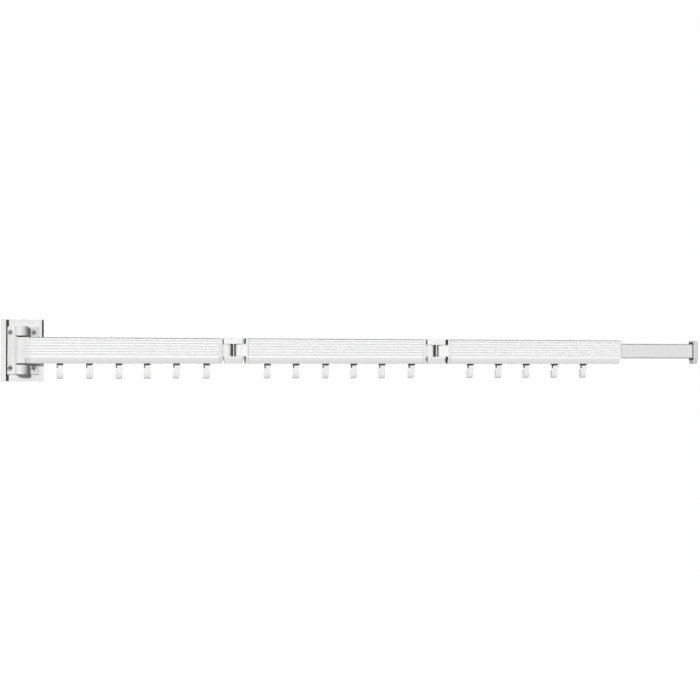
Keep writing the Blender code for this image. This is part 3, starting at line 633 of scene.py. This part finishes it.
def wall_plate(material):
    """Upright channel: a back, a raised floor with a relief groove at its left, and a rounded lip down each
    side."""
    low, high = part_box("wall_plate")
    inset = 2 * APART
    holes = [circle(SCREW_HOLE, x, z, HOLE_STEPS) for x, z in screw_places()]
    back_outline = box_outline(low.x + inset, high.x - inset, low.z + inset, high.z - inset, PLATE_CORNER)
    back = slab("Y", -PLATE_BACK, 0.0, back_outline, holes, PLATE_EDGE)
    floor_outline = box_outline(low.x + LIP_WIDTH + RELIEF_WIDTH, high.x - LIP_WIDTH / 2,
                                low.z + APART, high.z - APART, PLATE_EDGE)
    floor = slab("Y", -PLATE_FLOOR, -PLATE_BACK / 2, floor_outline, holes, PLATE_EDGE)
    lips = [slab("Z", low.z, high.z, box_outline(start, end, low.y, -APART, LIP_CORNER), edge=PLATE_EDGE)
            for start, end in ((low.x, low.x + LIP_WIDTH - FIT), (high.x - LIP_WIDTH, high.x))]
    piece("aluminium_wall_plate", "wall", ["wall_plate"], "silver_aluminium", material, back, floor, *lips)


def plate_shade_strips(material):
    """Two black strips that paint shade on the wall plate: one fills the floor of the relief groove as the
    lip's painted shadow, the other runs along the right lip's edge from behind the rail to the plate's top as
    a painted shade line."""
    low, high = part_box("wall_plate")
    groove = low.x + LIP_WIDTH
    groove_shadow_outline = box_outline(groove - FIT / 2, groove + RELIEF_WIDTH - STEP, low.z + FIT, high.z - FIT,
                               STRIP_EDGE)
    groove_shadow_strip = slab("Y", -STRIP_FRONT, -PLATE_BACK / 2, groove_shadow_outline, edge=STRIP_EDGE)
    lip_shade_outline = box_outline(high.x - LIP_SHADE_WIDTH, high.x - LIP_SHADE_INSET, 0.0, high.z - FIT, STRIP_EDGE)
    lip_shade_line = slab("Y", low.y - LIP_SHADE_PROUD, low.y + LIP_SHADE_DEPTH, lip_shade_outline, edge=LIP_SHADE_PROUD)
    piece("nylon_plate_strips", "wall", ["wall_plate"], "black_nylon", material, groove_shadow_strip, lip_shade_line)


def bracket_plate(low, high):
    """Plate with a rounded front edge and conical seats: at depth d a seat's radius is R - (R - r) d / D,
    down to the hole's radius r at the seat's depth D."""
    edge_inset, rise = quarter_round(PLATE_EDGE, EDGE_STEPS)
    depth = np.concatenate((rise, [SINK_DEPTH, BRACKET_THICKNESS]))
    inset = np.concatenate((edge_inset, [0.0, 0.0]))[:, None, None]
    radius = SINK_RADIUS - (SINK_RADIUS - SCREW_HOLE) * np.minimum(depth / SINK_DEPTH, 1)
    outline = anticlockwise(box_outline(low.x + FIT, high.x + FIT, low.z, high.z, BRACKET_CORNER))
    ring = circle(1.0, steps=HOLE_STEPS)[::-1]
    seats = [radius[:, None, None] * ring + place for place in screw_places()]
    return lofted("Y", high.y - BRACKET_THICKNESS + depth, outline + inset * inward(outline), seats)


def upper_knuckle(plan, top):
    """Eye with rounded rims and a well for the pin's head: the hole's ring steps out to the head's radius at
    the well's floor."""
    inset, rise = quarter_round(KNUCKLE_EDGE, ROUND_EDGE_STEPS)
    floor = top - PIN_HEAD_HEIGHT - FIT
    levels = np.concatenate((KNUCKLE_LOW + rise, [floor - STEP, floor], (top - rise)[::-1]))
    insets = np.concatenate((inset, [0.0, 0.0], inset[::-1]))[:, None, None]
    radius = np.repeat((PIN_RADIUS + FIT, PIN_HEAD_RADIUS + FIT), len(levels) // 2)[:, None, None]
    well = radius * circle(1.0)[::-1] + (PIVOT, AXIS_Y)
    return lofted("Z", levels, plan + insets * inward(plan), [well])


def hinge_bracket(material, knuckle_material):
    """Plate in the channel with an upper and a lower knuckle for the wall pivot, which are a piece of their
    own in a paler copy of the plate's paint that paints in the light the rounded knuckles catch."""
    low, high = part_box("hinge_bracket")
    root = high.y - BRACKET_THICKNESS / 2
    plan = np.concatenate((arc(PIVOT, AXIS_Y, KNUCKLE_RADIUS, 180, 360, ROUND // 2),
                           [(PIVOT + KNUCKLE_RADIUS, root), (PIVOT - KNUCKLE_RADIUS, root)]))
    upper = upper_knuckle(plan, high.z - APART)
    bore = [circle(PIN_RADIUS + FIT, PIVOT, AXIS_Y)]
    lower = slab("Z", low.z + APART, -KNUCKLE_LOW, plan, bore, KNUCKLE_EDGE, ROUND_EDGE_STEPS)
    plate = bracket_plate(low, high)
    piece("cast_bracket_knuckles", "wall", ["hinge_bracket"], "cast_fittings", knuckle_material, upper, lower)
    piece("cast_hinge_bracket", "wall", ["hinge_bracket"], "cast_fittings", material, plate)


def wall_screw(number, place, material):
    """Countersunk screw with a cross recess: its flat face falls by the recess depth times two ramps from 0
    to 1, one that starts at the ends of the cross's arms and one that starts at their sides."""
    node = f"wall_screw_{number}"
    low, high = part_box(node)
    head_radius = (high.x - low.x) / 2
    shank = SCREW_HOLE - FIT
    face = (head_radius - STEP) * np.linspace(1.0, HEAD_CENTRE, HEAD_RINGS)
    radius = np.concatenate(([shank - SCREW_CHAMFER, shank, shank, head_radius], face))
    level = np.concatenate(([high.y, high.y - SCREW_CHAMFER, low.y + HEAD_DEPTH, low.y + STEP],
                            np.full(HEAD_RINGS, low.y)))
    grid = radius[:, None, None] * circle(1.0, steps=HEAD_STEPS)
    long_side = np.abs(grid).max(axis=2)
    short_side = np.abs(grid).min(axis=2)
    arm = (np.clip((RECESS_REACH - long_side) / RECESS_END_SLOPE, 0, 1)
           * np.clip((RECESS_HALF - short_side) / RECESS_SIDE_SLOPE, 0, 1))
    on_face = (np.arange(len(radius)) >= len(radius) - HEAD_RINGS)[:, None]
    levels = level[:, None] + np.where(on_face, RECESS_DEPTH * arm, 0.0)
    screw = lofted("Y", levels, grid + place)
    piece(f"steel_{node}", "wall", [node], "steel", material, screw)


def pivot_pin(material):
    """Pin through the wall hinge with its chamfered head in the upper knuckle's well."""
    low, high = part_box("pivot_pin")
    seat = high.z - PIN_HEAD_HEIGHT
    profile = [(PIN_RADIUS - PIN_CHAMFER, low.z), (PIN_RADIUS, low.z + PIN_CHAMFER), (PIN_RADIUS, seat),
               (PIN_HEAD_RADIUS, seat), (PIN_HEAD_RADIUS, high.z - PIN_CHAMFER),
               (PIN_HEAD_RADIUS - PIN_CHAMFER, high.z)]
    pin = turned("Z", PIVOT, AXIS_Y, profile)
    piece("steel_pivot_pin", "wall", ["pivot_pin"], "steel", material, pin)


def pivot_bush(material):
    """Sleeve in the barrel with a thrust flange under it."""
    low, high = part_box("pivot_bush")
    bore = [circle(PIN_RADIUS + FIT, PIVOT, AXIS_Y)]
    flange_outline = circle((high.x - low.x) / 2, PIVOT, AXIS_Y)
    flange = slab("Z", low.z, RAIL_BOTTOM - FIT, flange_outline, bore, FLANGE_EDGE)
    sleeve = slab("Z", low.z + STEP, high.z, circle(SLEEVE_RADIUS, PIVOT, AXIS_Y), bore, SLEEVE_EDGE)
    piece("nylon_pivot_bush", "arm_1", ["pivot_bush"], "black_nylon", material, flange, sleeve)


def rod_section():
    """Rod's section, with faint drawn lines along its flanks."""
    bottom = ROD_LOW.z
    top = ROD_HIGH.z
    z = np.arange(bottom + ROD_CORNER, top - ROD_CORNER, SIDE_SPACING)
    middles = bottom + (top - bottom) * (1 + np.arange(ROD_LINES)) / (ROD_LINES + 1)
    flank = np.column_stack((ROD_HALF - groove_depth(z, middles, ROD_LINE_WIDTH, ROD_LINE_DEPTH), z))
    corner = ROD_HALF - ROD_CORNER
    lower = arc(corner, bottom + ROD_CORNER, ROD_CORNER, -90, 0, ROD_CORNER_STEPS)[:-1]
    upper = arc(corner, top - ROD_CORNER, ROD_CORNER, 0, 90, ROD_CORNER_STEPS)
    return on_axis(mirrored(np.concatenate((lower, flank, upper))))


def rod_bore(inset):
    """Inside of the rod's tube, drawn in by an inset."""
    wall = ROD_WALL + inset
    half = ROD_HALF - wall
    return on_axis(box_outline(-half, half, ROD_LOW.z + wall, ROD_HIGH.z - wall, ROD_BORE_CORNER))


def extension_rod(material):
    """Flat tube with rounded edges."""
    shell = slab("X", ROD_LOW.x, ROD_HIGH.x, rod_section(), [rod_bore(0.0)], ROD_EDGE)
    rod = piece("aluminium_extension_rod", "rod", ["extension_rod"], "silver_aluminium", material, shell)
    store_shade(rod, rod_shade)


def rod_shoe(material):
    """Guide on the rod's inner end, plugged into its tube."""
    low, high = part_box("rod_shoe")
    body = slab("X", low.x, ROD_LOW.x - FIT, hollow_section(FIT), edge=SHOE_EDGE)
    tail = slab("X", ROD_LOW.x - TAIL_OVERLAP, high.x, rod_bore(FIT))
    piece("nylon_rod_shoe", "rod", ["rod_shoe"], "black_nylon", material, body, tail)


def rod_end_cap(material, shade_sheet_material):
    """Cap with the rail's outline: a thin flange on the rod's side, a seam groove and the rounded body.  Each
    row is a distance from the inner face and how far the outline is drawn in there.  The black sheet on the
    inner face, which paints the shade round the rod's end, is a piece of its own."""
    low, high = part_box("rod_end_cap")
    inner = ROD_HIGH.x + FIT
    rows = [(0.0, CAP_RIM), (CAP_RIM, 0.0), (CAP_FLANGE, 0.0), (CAP_FLANGE + STEP, STEP),
            (CAP_FLANGE + 2 * STEP, CAP_SEAM_DEPTH), (CAP_SEAM_END, CAP_SEAM_DEPTH),
            (CAP_SEAM_END + STEP, CAP_RIM), (CAP_BODY, 0.0)]
    distance, inset = np.array(rows).T
    end_inset, rise = quarter_round(CAP_ROUND, ROUND_EDGE_STEPS)
    levels = np.concatenate((inner + distance, high.x - rise[::-1]))
    insets = np.concatenate((inset, end_inset[::-1]))[:, None, None]
    outline = anticlockwise(plain_section())
    body = lofted("X", levels, outline + insets * inward(outline))
    tail = slab("X", low.x, inner + TAIL_OVERLAP, rod_bore(FIT))
    half = RAIL_HALF - SHADE_SHEET_INSET
    shade_sheet_outline = box_outline(AXIS_Y - half, AXIS_Y + half, ROD_LOW.z - SHADE_SHEET_MARGIN,
                                 ROD_HIGH.z + SHADE_SHEET_MARGIN, SHADE_SHEET_CORNER)
    shade_sheet = slab("X", inner - SHADE_SHEET, inner + SHADE_SHEET, shade_sheet_outline, edge=SHADE_SHEET / 2)
    piece("nylon_cap_gasket", "rod", ["rod_end_cap"], "black_nylon", shade_sheet_material, shade_sheet)
    piece("moulded_rod_end_cap", "rod", ["rod_end_cap"], "grey_plastic", material, body, tail)


def saddle(half, top, radius):
    """Closed outline of a saddle over the rod, open below, from its outer size."""
    inner_half = ROD_HALF + FIT
    inner_top = ROD_HIGH.z + FIT
    foot = TAPER_TOP + FIT
    outer_corner = arc(half - radius, top - radius, radius, 0, 90, CORNER_STEPS)
    inner_corner = arc(inner_half - ROD_CORNER, inner_top - ROD_CORNER, ROD_CORNER, 0, 90, CORNER_STEPS)
    outer = np.concatenate(([(half, foot)], outer_corner))
    inner = np.concatenate(([(inner_half, foot)], inner_corner))
    flip = np.array((-1, 1))
    return on_axis(np.concatenate((outer, outer[::-1] * flip, inner * flip, inner[::-1])))


def rod_bushing(material):
    """Saddle bushing in the last rail's mouth with a chamfered flange outside."""
    low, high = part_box("rod_bushing")
    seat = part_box("rail_3")[1].x + FIT
    lip = FIT + BUSHING_LIP
    inside = saddle(RAIL_HALF - WALL - FIT, RAIL_TOP - WALL - FIT, WALL)
    shoulder = saddle(RAIL_HALF - BUSHING_CHAMFER, RAIL_TOP - BUSHING_CHAMFER, TOP_CORNER)
    flange = saddle(RAIL_HALF, RAIL_TOP, TOP_CORNER)
    rim = saddle(ROD_HALF + lip, ROD_HIGH.z + lip, ROD_CORNER)
    rings = np.array([inside, inside, shoulder, flange, flange, rim])
    levels = [low.x, seat - STEP, seat, seat + BUSHING_CHAMFER, seat + BUSHING_FLANGE, high.x]
    shell = lofted("X", levels, rings)
    piece("moulded_rod_bushing", "arm_3", ["rod_bushing"], "grey_plastic", material, shell)


def hook(number, material):
    """Flat strip bent to a J along two half ellipses, with a tang above and a notch at its upper left corner
    for the glider's cheek."""
    node = f"hook_{number:02d}"
    low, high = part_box(node)
    inner = HOOK_GAP_HALF
    outer = inner + 2 * HOOK_STRIP_HALF
    front = AXIS_Y - HOOK_STRIP_HALF
    back = AXIS_Y + HOOK_STRIP_HALF
    bend = (back + inner, low.z + HOOK_BEND)
    half_turn = arc(0.0, 0.0, 1.0, 180, 360, BEND_STEPS)
    tip = softened(np.array([(outer, 0.0), (outer, HOOK_TIP), (inner, HOOK_TIP), (inner, 0.0)]) + bend,
                   HOOK_TIP_CORNER, closed=False)[1:-1]
    outside = half_turn * (outer, HOOK_BEND) + bend
    inside = half_turn[::-1] * (inner, HOOK_BEND - 2 * HOOK_STRIP_HALF) + bend
    side = np.concatenate(([(front, NOTCH_BOTTOM)], outside, tip, inside, [(back, NOTCH_BOTTOM)]))
    strip = slab("X", low.x, high.x, side)
    shank_plan = box_outline(low.x + NOTCH_WIDTH, high.x - APART, front + APART, back - APART, EDGE)
    shank = slab("Z", NOTCH_BOTTOM - SHANK_OVERLAP, SHANK_TOP, shank_plan, edge=SHANK_EDGE)
    middle = (low.x + high.x) / 2
    tang_plan = box_outline(middle - TANG_HALF, middle + TANG_HALF, AXIS_Y - TANG_SIDE, AXIS_Y + TANG_SIDE,
                            TANG_CUT)
    tang = slab("Z", SHANK_TOP - TANG_OVERLAP, high.z, tang_plan)
    body = f"hook_slider_{number:02d}"
    piece(f"strip_{node}", body, [node], "hook_strip", material, strip, shank, tang)


def glider(number, material):
    """Runner with a head in the slot, a neck in its mouth, a flange below and a cheek beside the hook, which
    stands a little proud of the hook's front."""
    node = f"glider_{number:02d}"
    low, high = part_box(node)
    flange_top = RAIL_BOTTOM - FIT
    flange_bottom = flange_top - GLIDER_FLANGE
    neck = MOUTH_HALF - FIT
    head = SLOT_HALF - FIT
    head_bottom = SLOT_LIP_TOP + FIT
    side = np.array([(FOOT_HALF, flange_bottom), (FOOT_HALF, flange_top), (neck, flange_top),
                     (neck, head_bottom), (head, head_bottom), (head, high.z)])
    section = softened(on_axis(mirrored(side)), GLIDER_EDGE, steps=SMALL_CUT_STEPS)
    runner = slab("X", low.x, high.x, section, edge=GLIDER_EDGE)
    cheek_outline = box_outline(CHEEK_FRONT, AXIS_Y + HOOK_STRIP_HALF, low.z, flange_bottom + CHEEK_OVERLAP,
                                GLIDER_EDGE)
    cheek = slab("X", low.x + APART, low.x + CHEEK_WIDTH, cheek_outline, edge=GLIDER_EDGE)
    body = f"hook_slider_{number:02d}"
    piece(f"nylon_{node}", body, [node], "black_nylon", material, runner, cheek)


def colour(code):
    """Linear RGBA of an sRGB hex code: c / 12.92 below 0.04045, else ((c + 0.055) / 1.055) ^ 2.4."""
    c = np.array([int(code[i:i + 2], 16) for i in (1, 3, 5)]) / 255
    return (*np.where(c < 0.04045, c / 12.92, ((c + 0.055) / 1.055) ** 2.4), 1.0)


def add(tree, kind, values=None, sources=None, **settings):
    """Adds a node, sets its properties and input values and links its inputs to other nodes' outputs."""
    made = tree.nodes.new(kind)
    for name, value in settings.items():
        setattr(made, name, value)
    for key, value in (values or {}).items():
        made.inputs[key].default_value = value
    for key, socket in (sources or {}).items():
        tree.links.new(socket, made.inputs[key])
    return made


def surface(name, metallic, roughness):
    """New material with its shader's uniform values set, and its node tree, its shader and the place on the
    piece that its patterns read."""
    material = bpy.data.materials.new(name)
    material.use_nodes = True
    tree = material.node_tree
    shader = tree.nodes["Principled BSDF"]
    shader.inputs["Metallic"].default_value = metallic
    shader.inputs["Roughness"].default_value = roughness
    place = add(tree, "ShaderNodeTexCoord").outputs["Object"]
    return material, tree, shader, place


def tones(tree, height, dark, light, low=0.3, high=0.7):
    """Colour between two tones by a pattern's value."""
    ramp = add(tree, "ShaderNodeValToRGB", sources={"Fac": height})
    ramp.color_ramp.elements[0].position = low
    ramp.color_ramp.elements[0].color = colour(dark)
    ramp.color_ramp.elements[1].position = high
    ramp.color_ramp.elements[1].color = colour(light)
    return ramp.outputs["Color"]


def anodised_aluminium(name, lengthwise, dark, light):
    """Satin silver-white anodised extrusion: the etched oxide coat scatters light as a pale matte coat does,
    so it is shaded as a coat and not as bare metal, with die lines along its length and a fine grain.  The
    stored shade paints shade into the colour: painted shade in the grooves and on the tapered foot, and a
    painted dark reflection along the rounded edges.

    Real die lines are about 0.2 mm apart; they are drawn 1.1 mm apart so that they show.
    """
    material, tree, shader, place = surface(name, metallic=0.0, roughness=0.5)
    line_spacing = 0.0011
    line_length = 0.300
    grain_size = 0.0007
    scale = [1 / line_length if axis == lengthwise else 1 / line_spacing for axis in "XYZ"]
    lines = add(tree, "ShaderNodeMapping", {"Scale": scale}, {"Vector": place})
    die = add(tree, "ShaderNodeTexNoise", {"Scale": 1.0, "Detail": 3.0, "Roughness": 0.6},
              {"Vector": lines.outputs["Vector"]}).outputs["Fac"]
    plain = tones(tree, die, dark, light)
    # Painted shade and painted dark edge reflections, mixed into the colour from the stored attribute
    shade = add(tree, "ShaderNodeAttribute", attribute_name="shade")
    toned = add(tree, "ShaderNodeMix", {"B": colour(PAINTED_SHADE_TONE)},
                {"Factor": shade.outputs["Fac"], "A": plain}, data_type="RGBA")
    tree.links.new(toned.outputs["Result"], shader.inputs["Base Color"])
    rough = add(tree, "ShaderNodeMapRange", {"To Min": 0.45, "To Max": 0.55}, {"Value": die})
    tree.links.new(rough.outputs["Result"], shader.inputs["Roughness"])
    grain = add(tree, "ShaderNodeTexNoise", {"Scale": 1 / grain_size, "Detail": 2.0}, {"Vector": place})
    faint = add(tree, "ShaderNodeMath", {1: 0.4}, {0: grain.outputs["Fac"]}, operation="MULTIPLY")
    height = add(tree, "ShaderNodeMath", None, {0: die, 1: faint.outputs["Value"]}, operation="ADD")
    bump = add(tree, "ShaderNodeBump", {"Strength": 0.02, "Distance": BUMP_DEPTH},
               {"Height": height.outputs["Value"]})
    tree.links.new(bump.outputs["Normal"], shader.inputs["Normal"])
    return material


def painted_zinc(name, dark, light):
    """Die-cast zinc under a pale paint: an even satin coat, faintly clouded, with orange peel about 0.9 mm
    across."""
    material, tree, shader, place = surface(name, metallic=0.0, roughness=0.6)
    cloud_size = 0.012
    peel_size = 0.0009
    cloud = add(tree, "ShaderNodeTexNoise", {"Scale": 1 / cloud_size, "Detail": 3.0}, {"Vector": place})
    tree.links.new(tones(tree, cloud.outputs["Fac"], dark, light), shader.inputs["Base Color"])
    peel = add(tree, "ShaderNodeTexNoise", {"Scale": 1 / peel_size, "Detail": 1.0}, {"Vector": place})
    bump = add(tree, "ShaderNodeBump", {"Strength": 0.10, "Distance": BUMP_DEPTH},
               {"Height": peel.outputs["Fac"]})
    tree.links.new(bump.outputs["Normal"], shader.inputs["Normal"])
    return material


def enamelled_strip():
    """Stamped steel strip under a white enamel: smooth, with faint rolling marks about 1.5 mm apart."""
    material, tree, shader, place = surface("enamelled_strip", metallic=0.0, roughness=0.33)
    mark_spacing = 0.0015
    mark_length = 0.020
    scale = (1 / mark_spacing, 1 / mark_spacing, 1 / mark_length)
    stretch = add(tree, "ShaderNodeMapping", {"Scale": scale}, {"Vector": place})
    marks = add(tree, "ShaderNodeTexNoise", {"Scale": 1.0, "Detail": 2.0},
                {"Vector": stretch.outputs["Vector"]}).outputs["Fac"]
    tree.links.new(tones(tree, marks, "#EBECEB", "#F1F1F0"), shader.inputs["Base Color"])
    bump = add(tree, "ShaderNodeBump", {"Strength": 0.05, "Distance": BUMP_DEPTH}, {"Height": marks})
    tree.links.new(bump.outputs["Normal"], shader.inputs["Normal"])
    return material


def zinc_plated_steel():
    """Zinc-plated turned steel in dark tones that paint the shade in the screws' recessed heads: a dark cool
    metal with a mottled spangle about 1.2 mm across.
    """
    material, tree, shader, place = surface("zinc_plated_steel", metallic=1.0, roughness=0.3)
    spangle_size = 0.0012
    spangle = add(tree, "ShaderNodeTexVoronoi", {"Scale": 1 / spangle_size},
                  {"Vector": place}).outputs["Distance"]
    # Dark tones paint the shade in the screws' recessed heads
    mottled = tones(tree, spangle, "#4E4F50", "#626364", low=0.0, high=1.0)
    tree.links.new(mottled, shader.inputs["Base Color"])
    rough = add(tree, "ShaderNodeMapRange", {"To Min": 0.24, "To Max": 0.38}, {"Value": spangle})
    tree.links.new(rough.outputs["Result"], shader.inputs["Roughness"])
    return material


def moulded(name, dark, light, roughness, grain_size, relief):
    """Moulded plastic with the mould's fine grain in its colour and its relief."""
    material, tree, shader, place = surface(name, metallic=0.0, roughness=roughness)
    grain = add(tree, "ShaderNodeTexNoise", {"Scale": 1 / grain_size, "Detail": 2.0},
                {"Vector": place}).outputs["Fac"]
    tree.links.new(tones(tree, grain, dark, light), shader.inputs["Base Color"])
    bump = add(tree, "ShaderNodeBump", {"Strength": relief, "Distance": BUMP_DEPTH}, {"Height": grain})
    tree.links.new(bump.outputs["Normal"], shader.inputs["Normal"])
    return material


def black_nylon():
    """Injection-moulded nylon: near black, matte, with a spark-eroded grain about 0.5 mm across."""
    return moulded("black_nylon", "#0E0E0F", "#1B1B1C", roughness=0.65, grain_size=0.0005, relief=0.15)


def moulded_abs(name, dark, light):
    """Moulded ABS: a pale satin plastic with a fine moulded grain about 0.6 mm across."""
    return moulded(name, dark, light, roughness=0.42, grain_size=0.0006, relief=0.10)


def dress():
    """Every piece of the rail, each in place of its CAD node."""
    rail_metal = anodised_aluminium("anodised_aluminium_rail", "X", "#F8F9F8", "#FAFBFA")
    rod_metal = anodised_aluminium("anodised_aluminium_rod", "X", "#DFE0DF", "#E4E5E3")
    plate_metal = anodised_aluminium("anodised_aluminium_plate", "Z", "#DDDEDD", "#E3E4E3")
    zinc = painted_zinc("white_painted_zinc", "#F3F3F1", "#F9F9F7")
    bracket_zinc = painted_zinc("silver_painted_zinc", "#D7D8D7", "#DDDDDB")
    # Paler copy of the bracket's paint: painted light on the rounded knuckles and the barrel's eye
    painted_light_zinc = painted_zinc("pale_painted_zinc", "#E3E4E3", "#E8E8E6")
    tongue_zinc = painted_zinc("bright_painted_zinc", "#EBECEB", "#F0F0EE")
    strip = enamelled_strip()
    steel = zinc_plated_steel()
    nylon = black_nylon()
    plastic = moulded_abs("grey_abs", "#CFD1D1", "#DCDDDD")
    white_plastic = moulded_abs("white_abs", "#F2F3F2", "#F8F8F7")

    wall_plate(plate_metal)
    plate_shade_strips(nylon)
    hinge_bracket(bracket_zinc, painted_light_zinc)
    for number, place in enumerate(screw_places(), start=1):
        wall_screw(number, place, steel)
    pivot_pin(steel)
    pivot_bush(nylon)
    root_barrel(painted_light_zinc, tongue_zinc)

    for number in (1, 2, 3):
        rail(number, f"arm_{number}", rail_metal)
    for number in (1, 2):
        following = number + 1
        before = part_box(f"rail_{number}")[1].x
        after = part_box(f"rail_{following}")[0].x
        end_fitting(f"tongue_{number}_tip", f"arm_{number}", before, 1,
                    PIVOT_X[f"link_{number}_fold_a"], tongue_zinc, nylon)
        end_fitting(f"tongue_{following}_root", f"arm_{following}", after, -1,
                    PIVOT_X[f"link_{number}_fold_b"], tongue_zinc, nylon)
        hinge_link(number, zinc, nylon)
        link_pin(number, "a", steel)
        link_pin(number, "b", steel)

    rod_bushing(white_plastic)
    extension_rod(rod_metal)
    rod_shoe(nylon)
    rod_end_cap(plastic, nylon)
    for number in range(1, HOOK_COUNT + 1):
        hook(number, strip)
        glider(number, nylon)


def surround():
    """Surround that the eye and every gloss see white, and that lights the object only dimly."""
    world = bpy.data.worlds.new("studio")
    world.use_nodes = True
    bpy.context.scene.world = world
    tree = world.node_tree
    path = add(tree, "ShaderNodeLightPath")
    seen = add(tree, "ShaderNodeMath", None,
               {0: path.outputs["Is Camera Ray"], 1: path.outputs["Is Glossy Ray"]}, operation="MAXIMUM")
    shown = add(tree, "ShaderNodeMath", None,
                {0: seen.outputs["Value"], 1: path.outputs["Is Transmission Ray"]}, operation="MAXIMUM")
    strength = add(tree, "ShaderNodeMapRange", {"To Min": SURROUND_LIGHT, "To Max": 1.0},
                   {"Value": shown.outputs["Value"]})
    tree.links.new(strength.outputs["Result"], tree.nodes["Background"].inputs["Strength"])
    tree.nodes["Background"].inputs["Color"].default_value = (1.0, 1.0, 1.0, 1.0)


def pale_floor():
    """Matte floor material that keeps the object's shadow, with a glow for the eye and for gloss that grows
    with the distance from the wall plate until it is white."""
    material = bpy.data.materials.new("pale_floor")
    material.use_nodes = True
    tree = material.node_tree
    tree.nodes.remove(tree.nodes["Principled BSDF"])
    matte = add(tree, "ShaderNodeBsdfDiffuse", {"Color": colour("#F2F2F2")})
    path = add(tree, "ShaderNodeLightPath")
    place = add(tree, "ShaderNodeTexCoord").outputs["Object"]
    far = add(tree, "ShaderNodeVectorMath", None, {0: place}, operation="LENGTH")
    white = add(tree, "ShaderNodeMapRange",
                {"From Min": GLOW_START, "From Max": GLOW_END, "To Min": LEAST_GLOW, "To Max": 1.0},
                {"Value": far.outputs["Value"]})
    seen = add(tree, "ShaderNodeMath", None,
               {0: path.outputs["Is Camera Ray"], 1: path.outputs["Is Glossy Ray"]}, operation="MAXIMUM")
    lift = add(tree, "ShaderNodeMath", None,
               {0: white.outputs["Result"], 1: seen.outputs["Value"]}, operation="MULTIPLY")
    glow = add(tree, "ShaderNodeEmission", None, {"Strength": lift.outputs["Value"]})
    both = add(tree, "ShaderNodeAddShader", None, {0: matte.outputs["BSDF"], 1: glow.outputs["Emission"]})
    tree.links.new(both.outputs["Shader"], tree.nodes["Material Output"].inputs["Surface"])
    return material


def studio():
    """White surround, a square floor well below the rail, and distant lamps: a key from the front, a broad
    fill from the left and one behind that keeps the back from going black."""
    scene = bpy.context.scene
    scene.view_settings.view_transform = "Standard"
    surround()

    mesh = bpy.data.meshes.new("floor")
    corners = [(x * FLOOR_REACH, y * FLOOR_REACH, FLOOR_LEVEL)
               for x, y in ((-1, -1), (1, -1), (1, 1), (-1, 1))]
    mesh.from_pydata(corners, [], [(0, 1, 2, 3)])
    floor = bpy.data.objects.new("floor", mesh)
    scene.collection.objects.link(floor)
    mesh.materials.append(pale_floor())

    for name, energy, spread, left, above in LAMPS:
        lamp = bpy.data.lights.new(name, "SUN")
        lamp.energy = energy
        lamp.angle = math.radians(spread)
        light = bpy.data.objects.new(name, lamp)
        scene.collection.objects.link(light)
        light.rotation_euler = (math.radians(90 - above), 0.0, math.radians(-left))


def camera():
    """Camera at the photograph's place: in front of the wall plate, a little below the rails, and turned
    toward the arm."""
    scene = bpy.context.scene
    lens = bpy.data.cameras.new("camera")
    lens.sensor_width = SENSOR
    lens.lens = LENS
    eye = bpy.data.objects.new("camera", lens)
    scene.collection.objects.link(eye)
    eye.location = CAMERA_PLACE
    eye.rotation_euler = (math.radians(CAMERA_TILT), 0.0, math.radians(CAMERA_TURN))
    scene.camera = eye


dress()
studio()
camera()
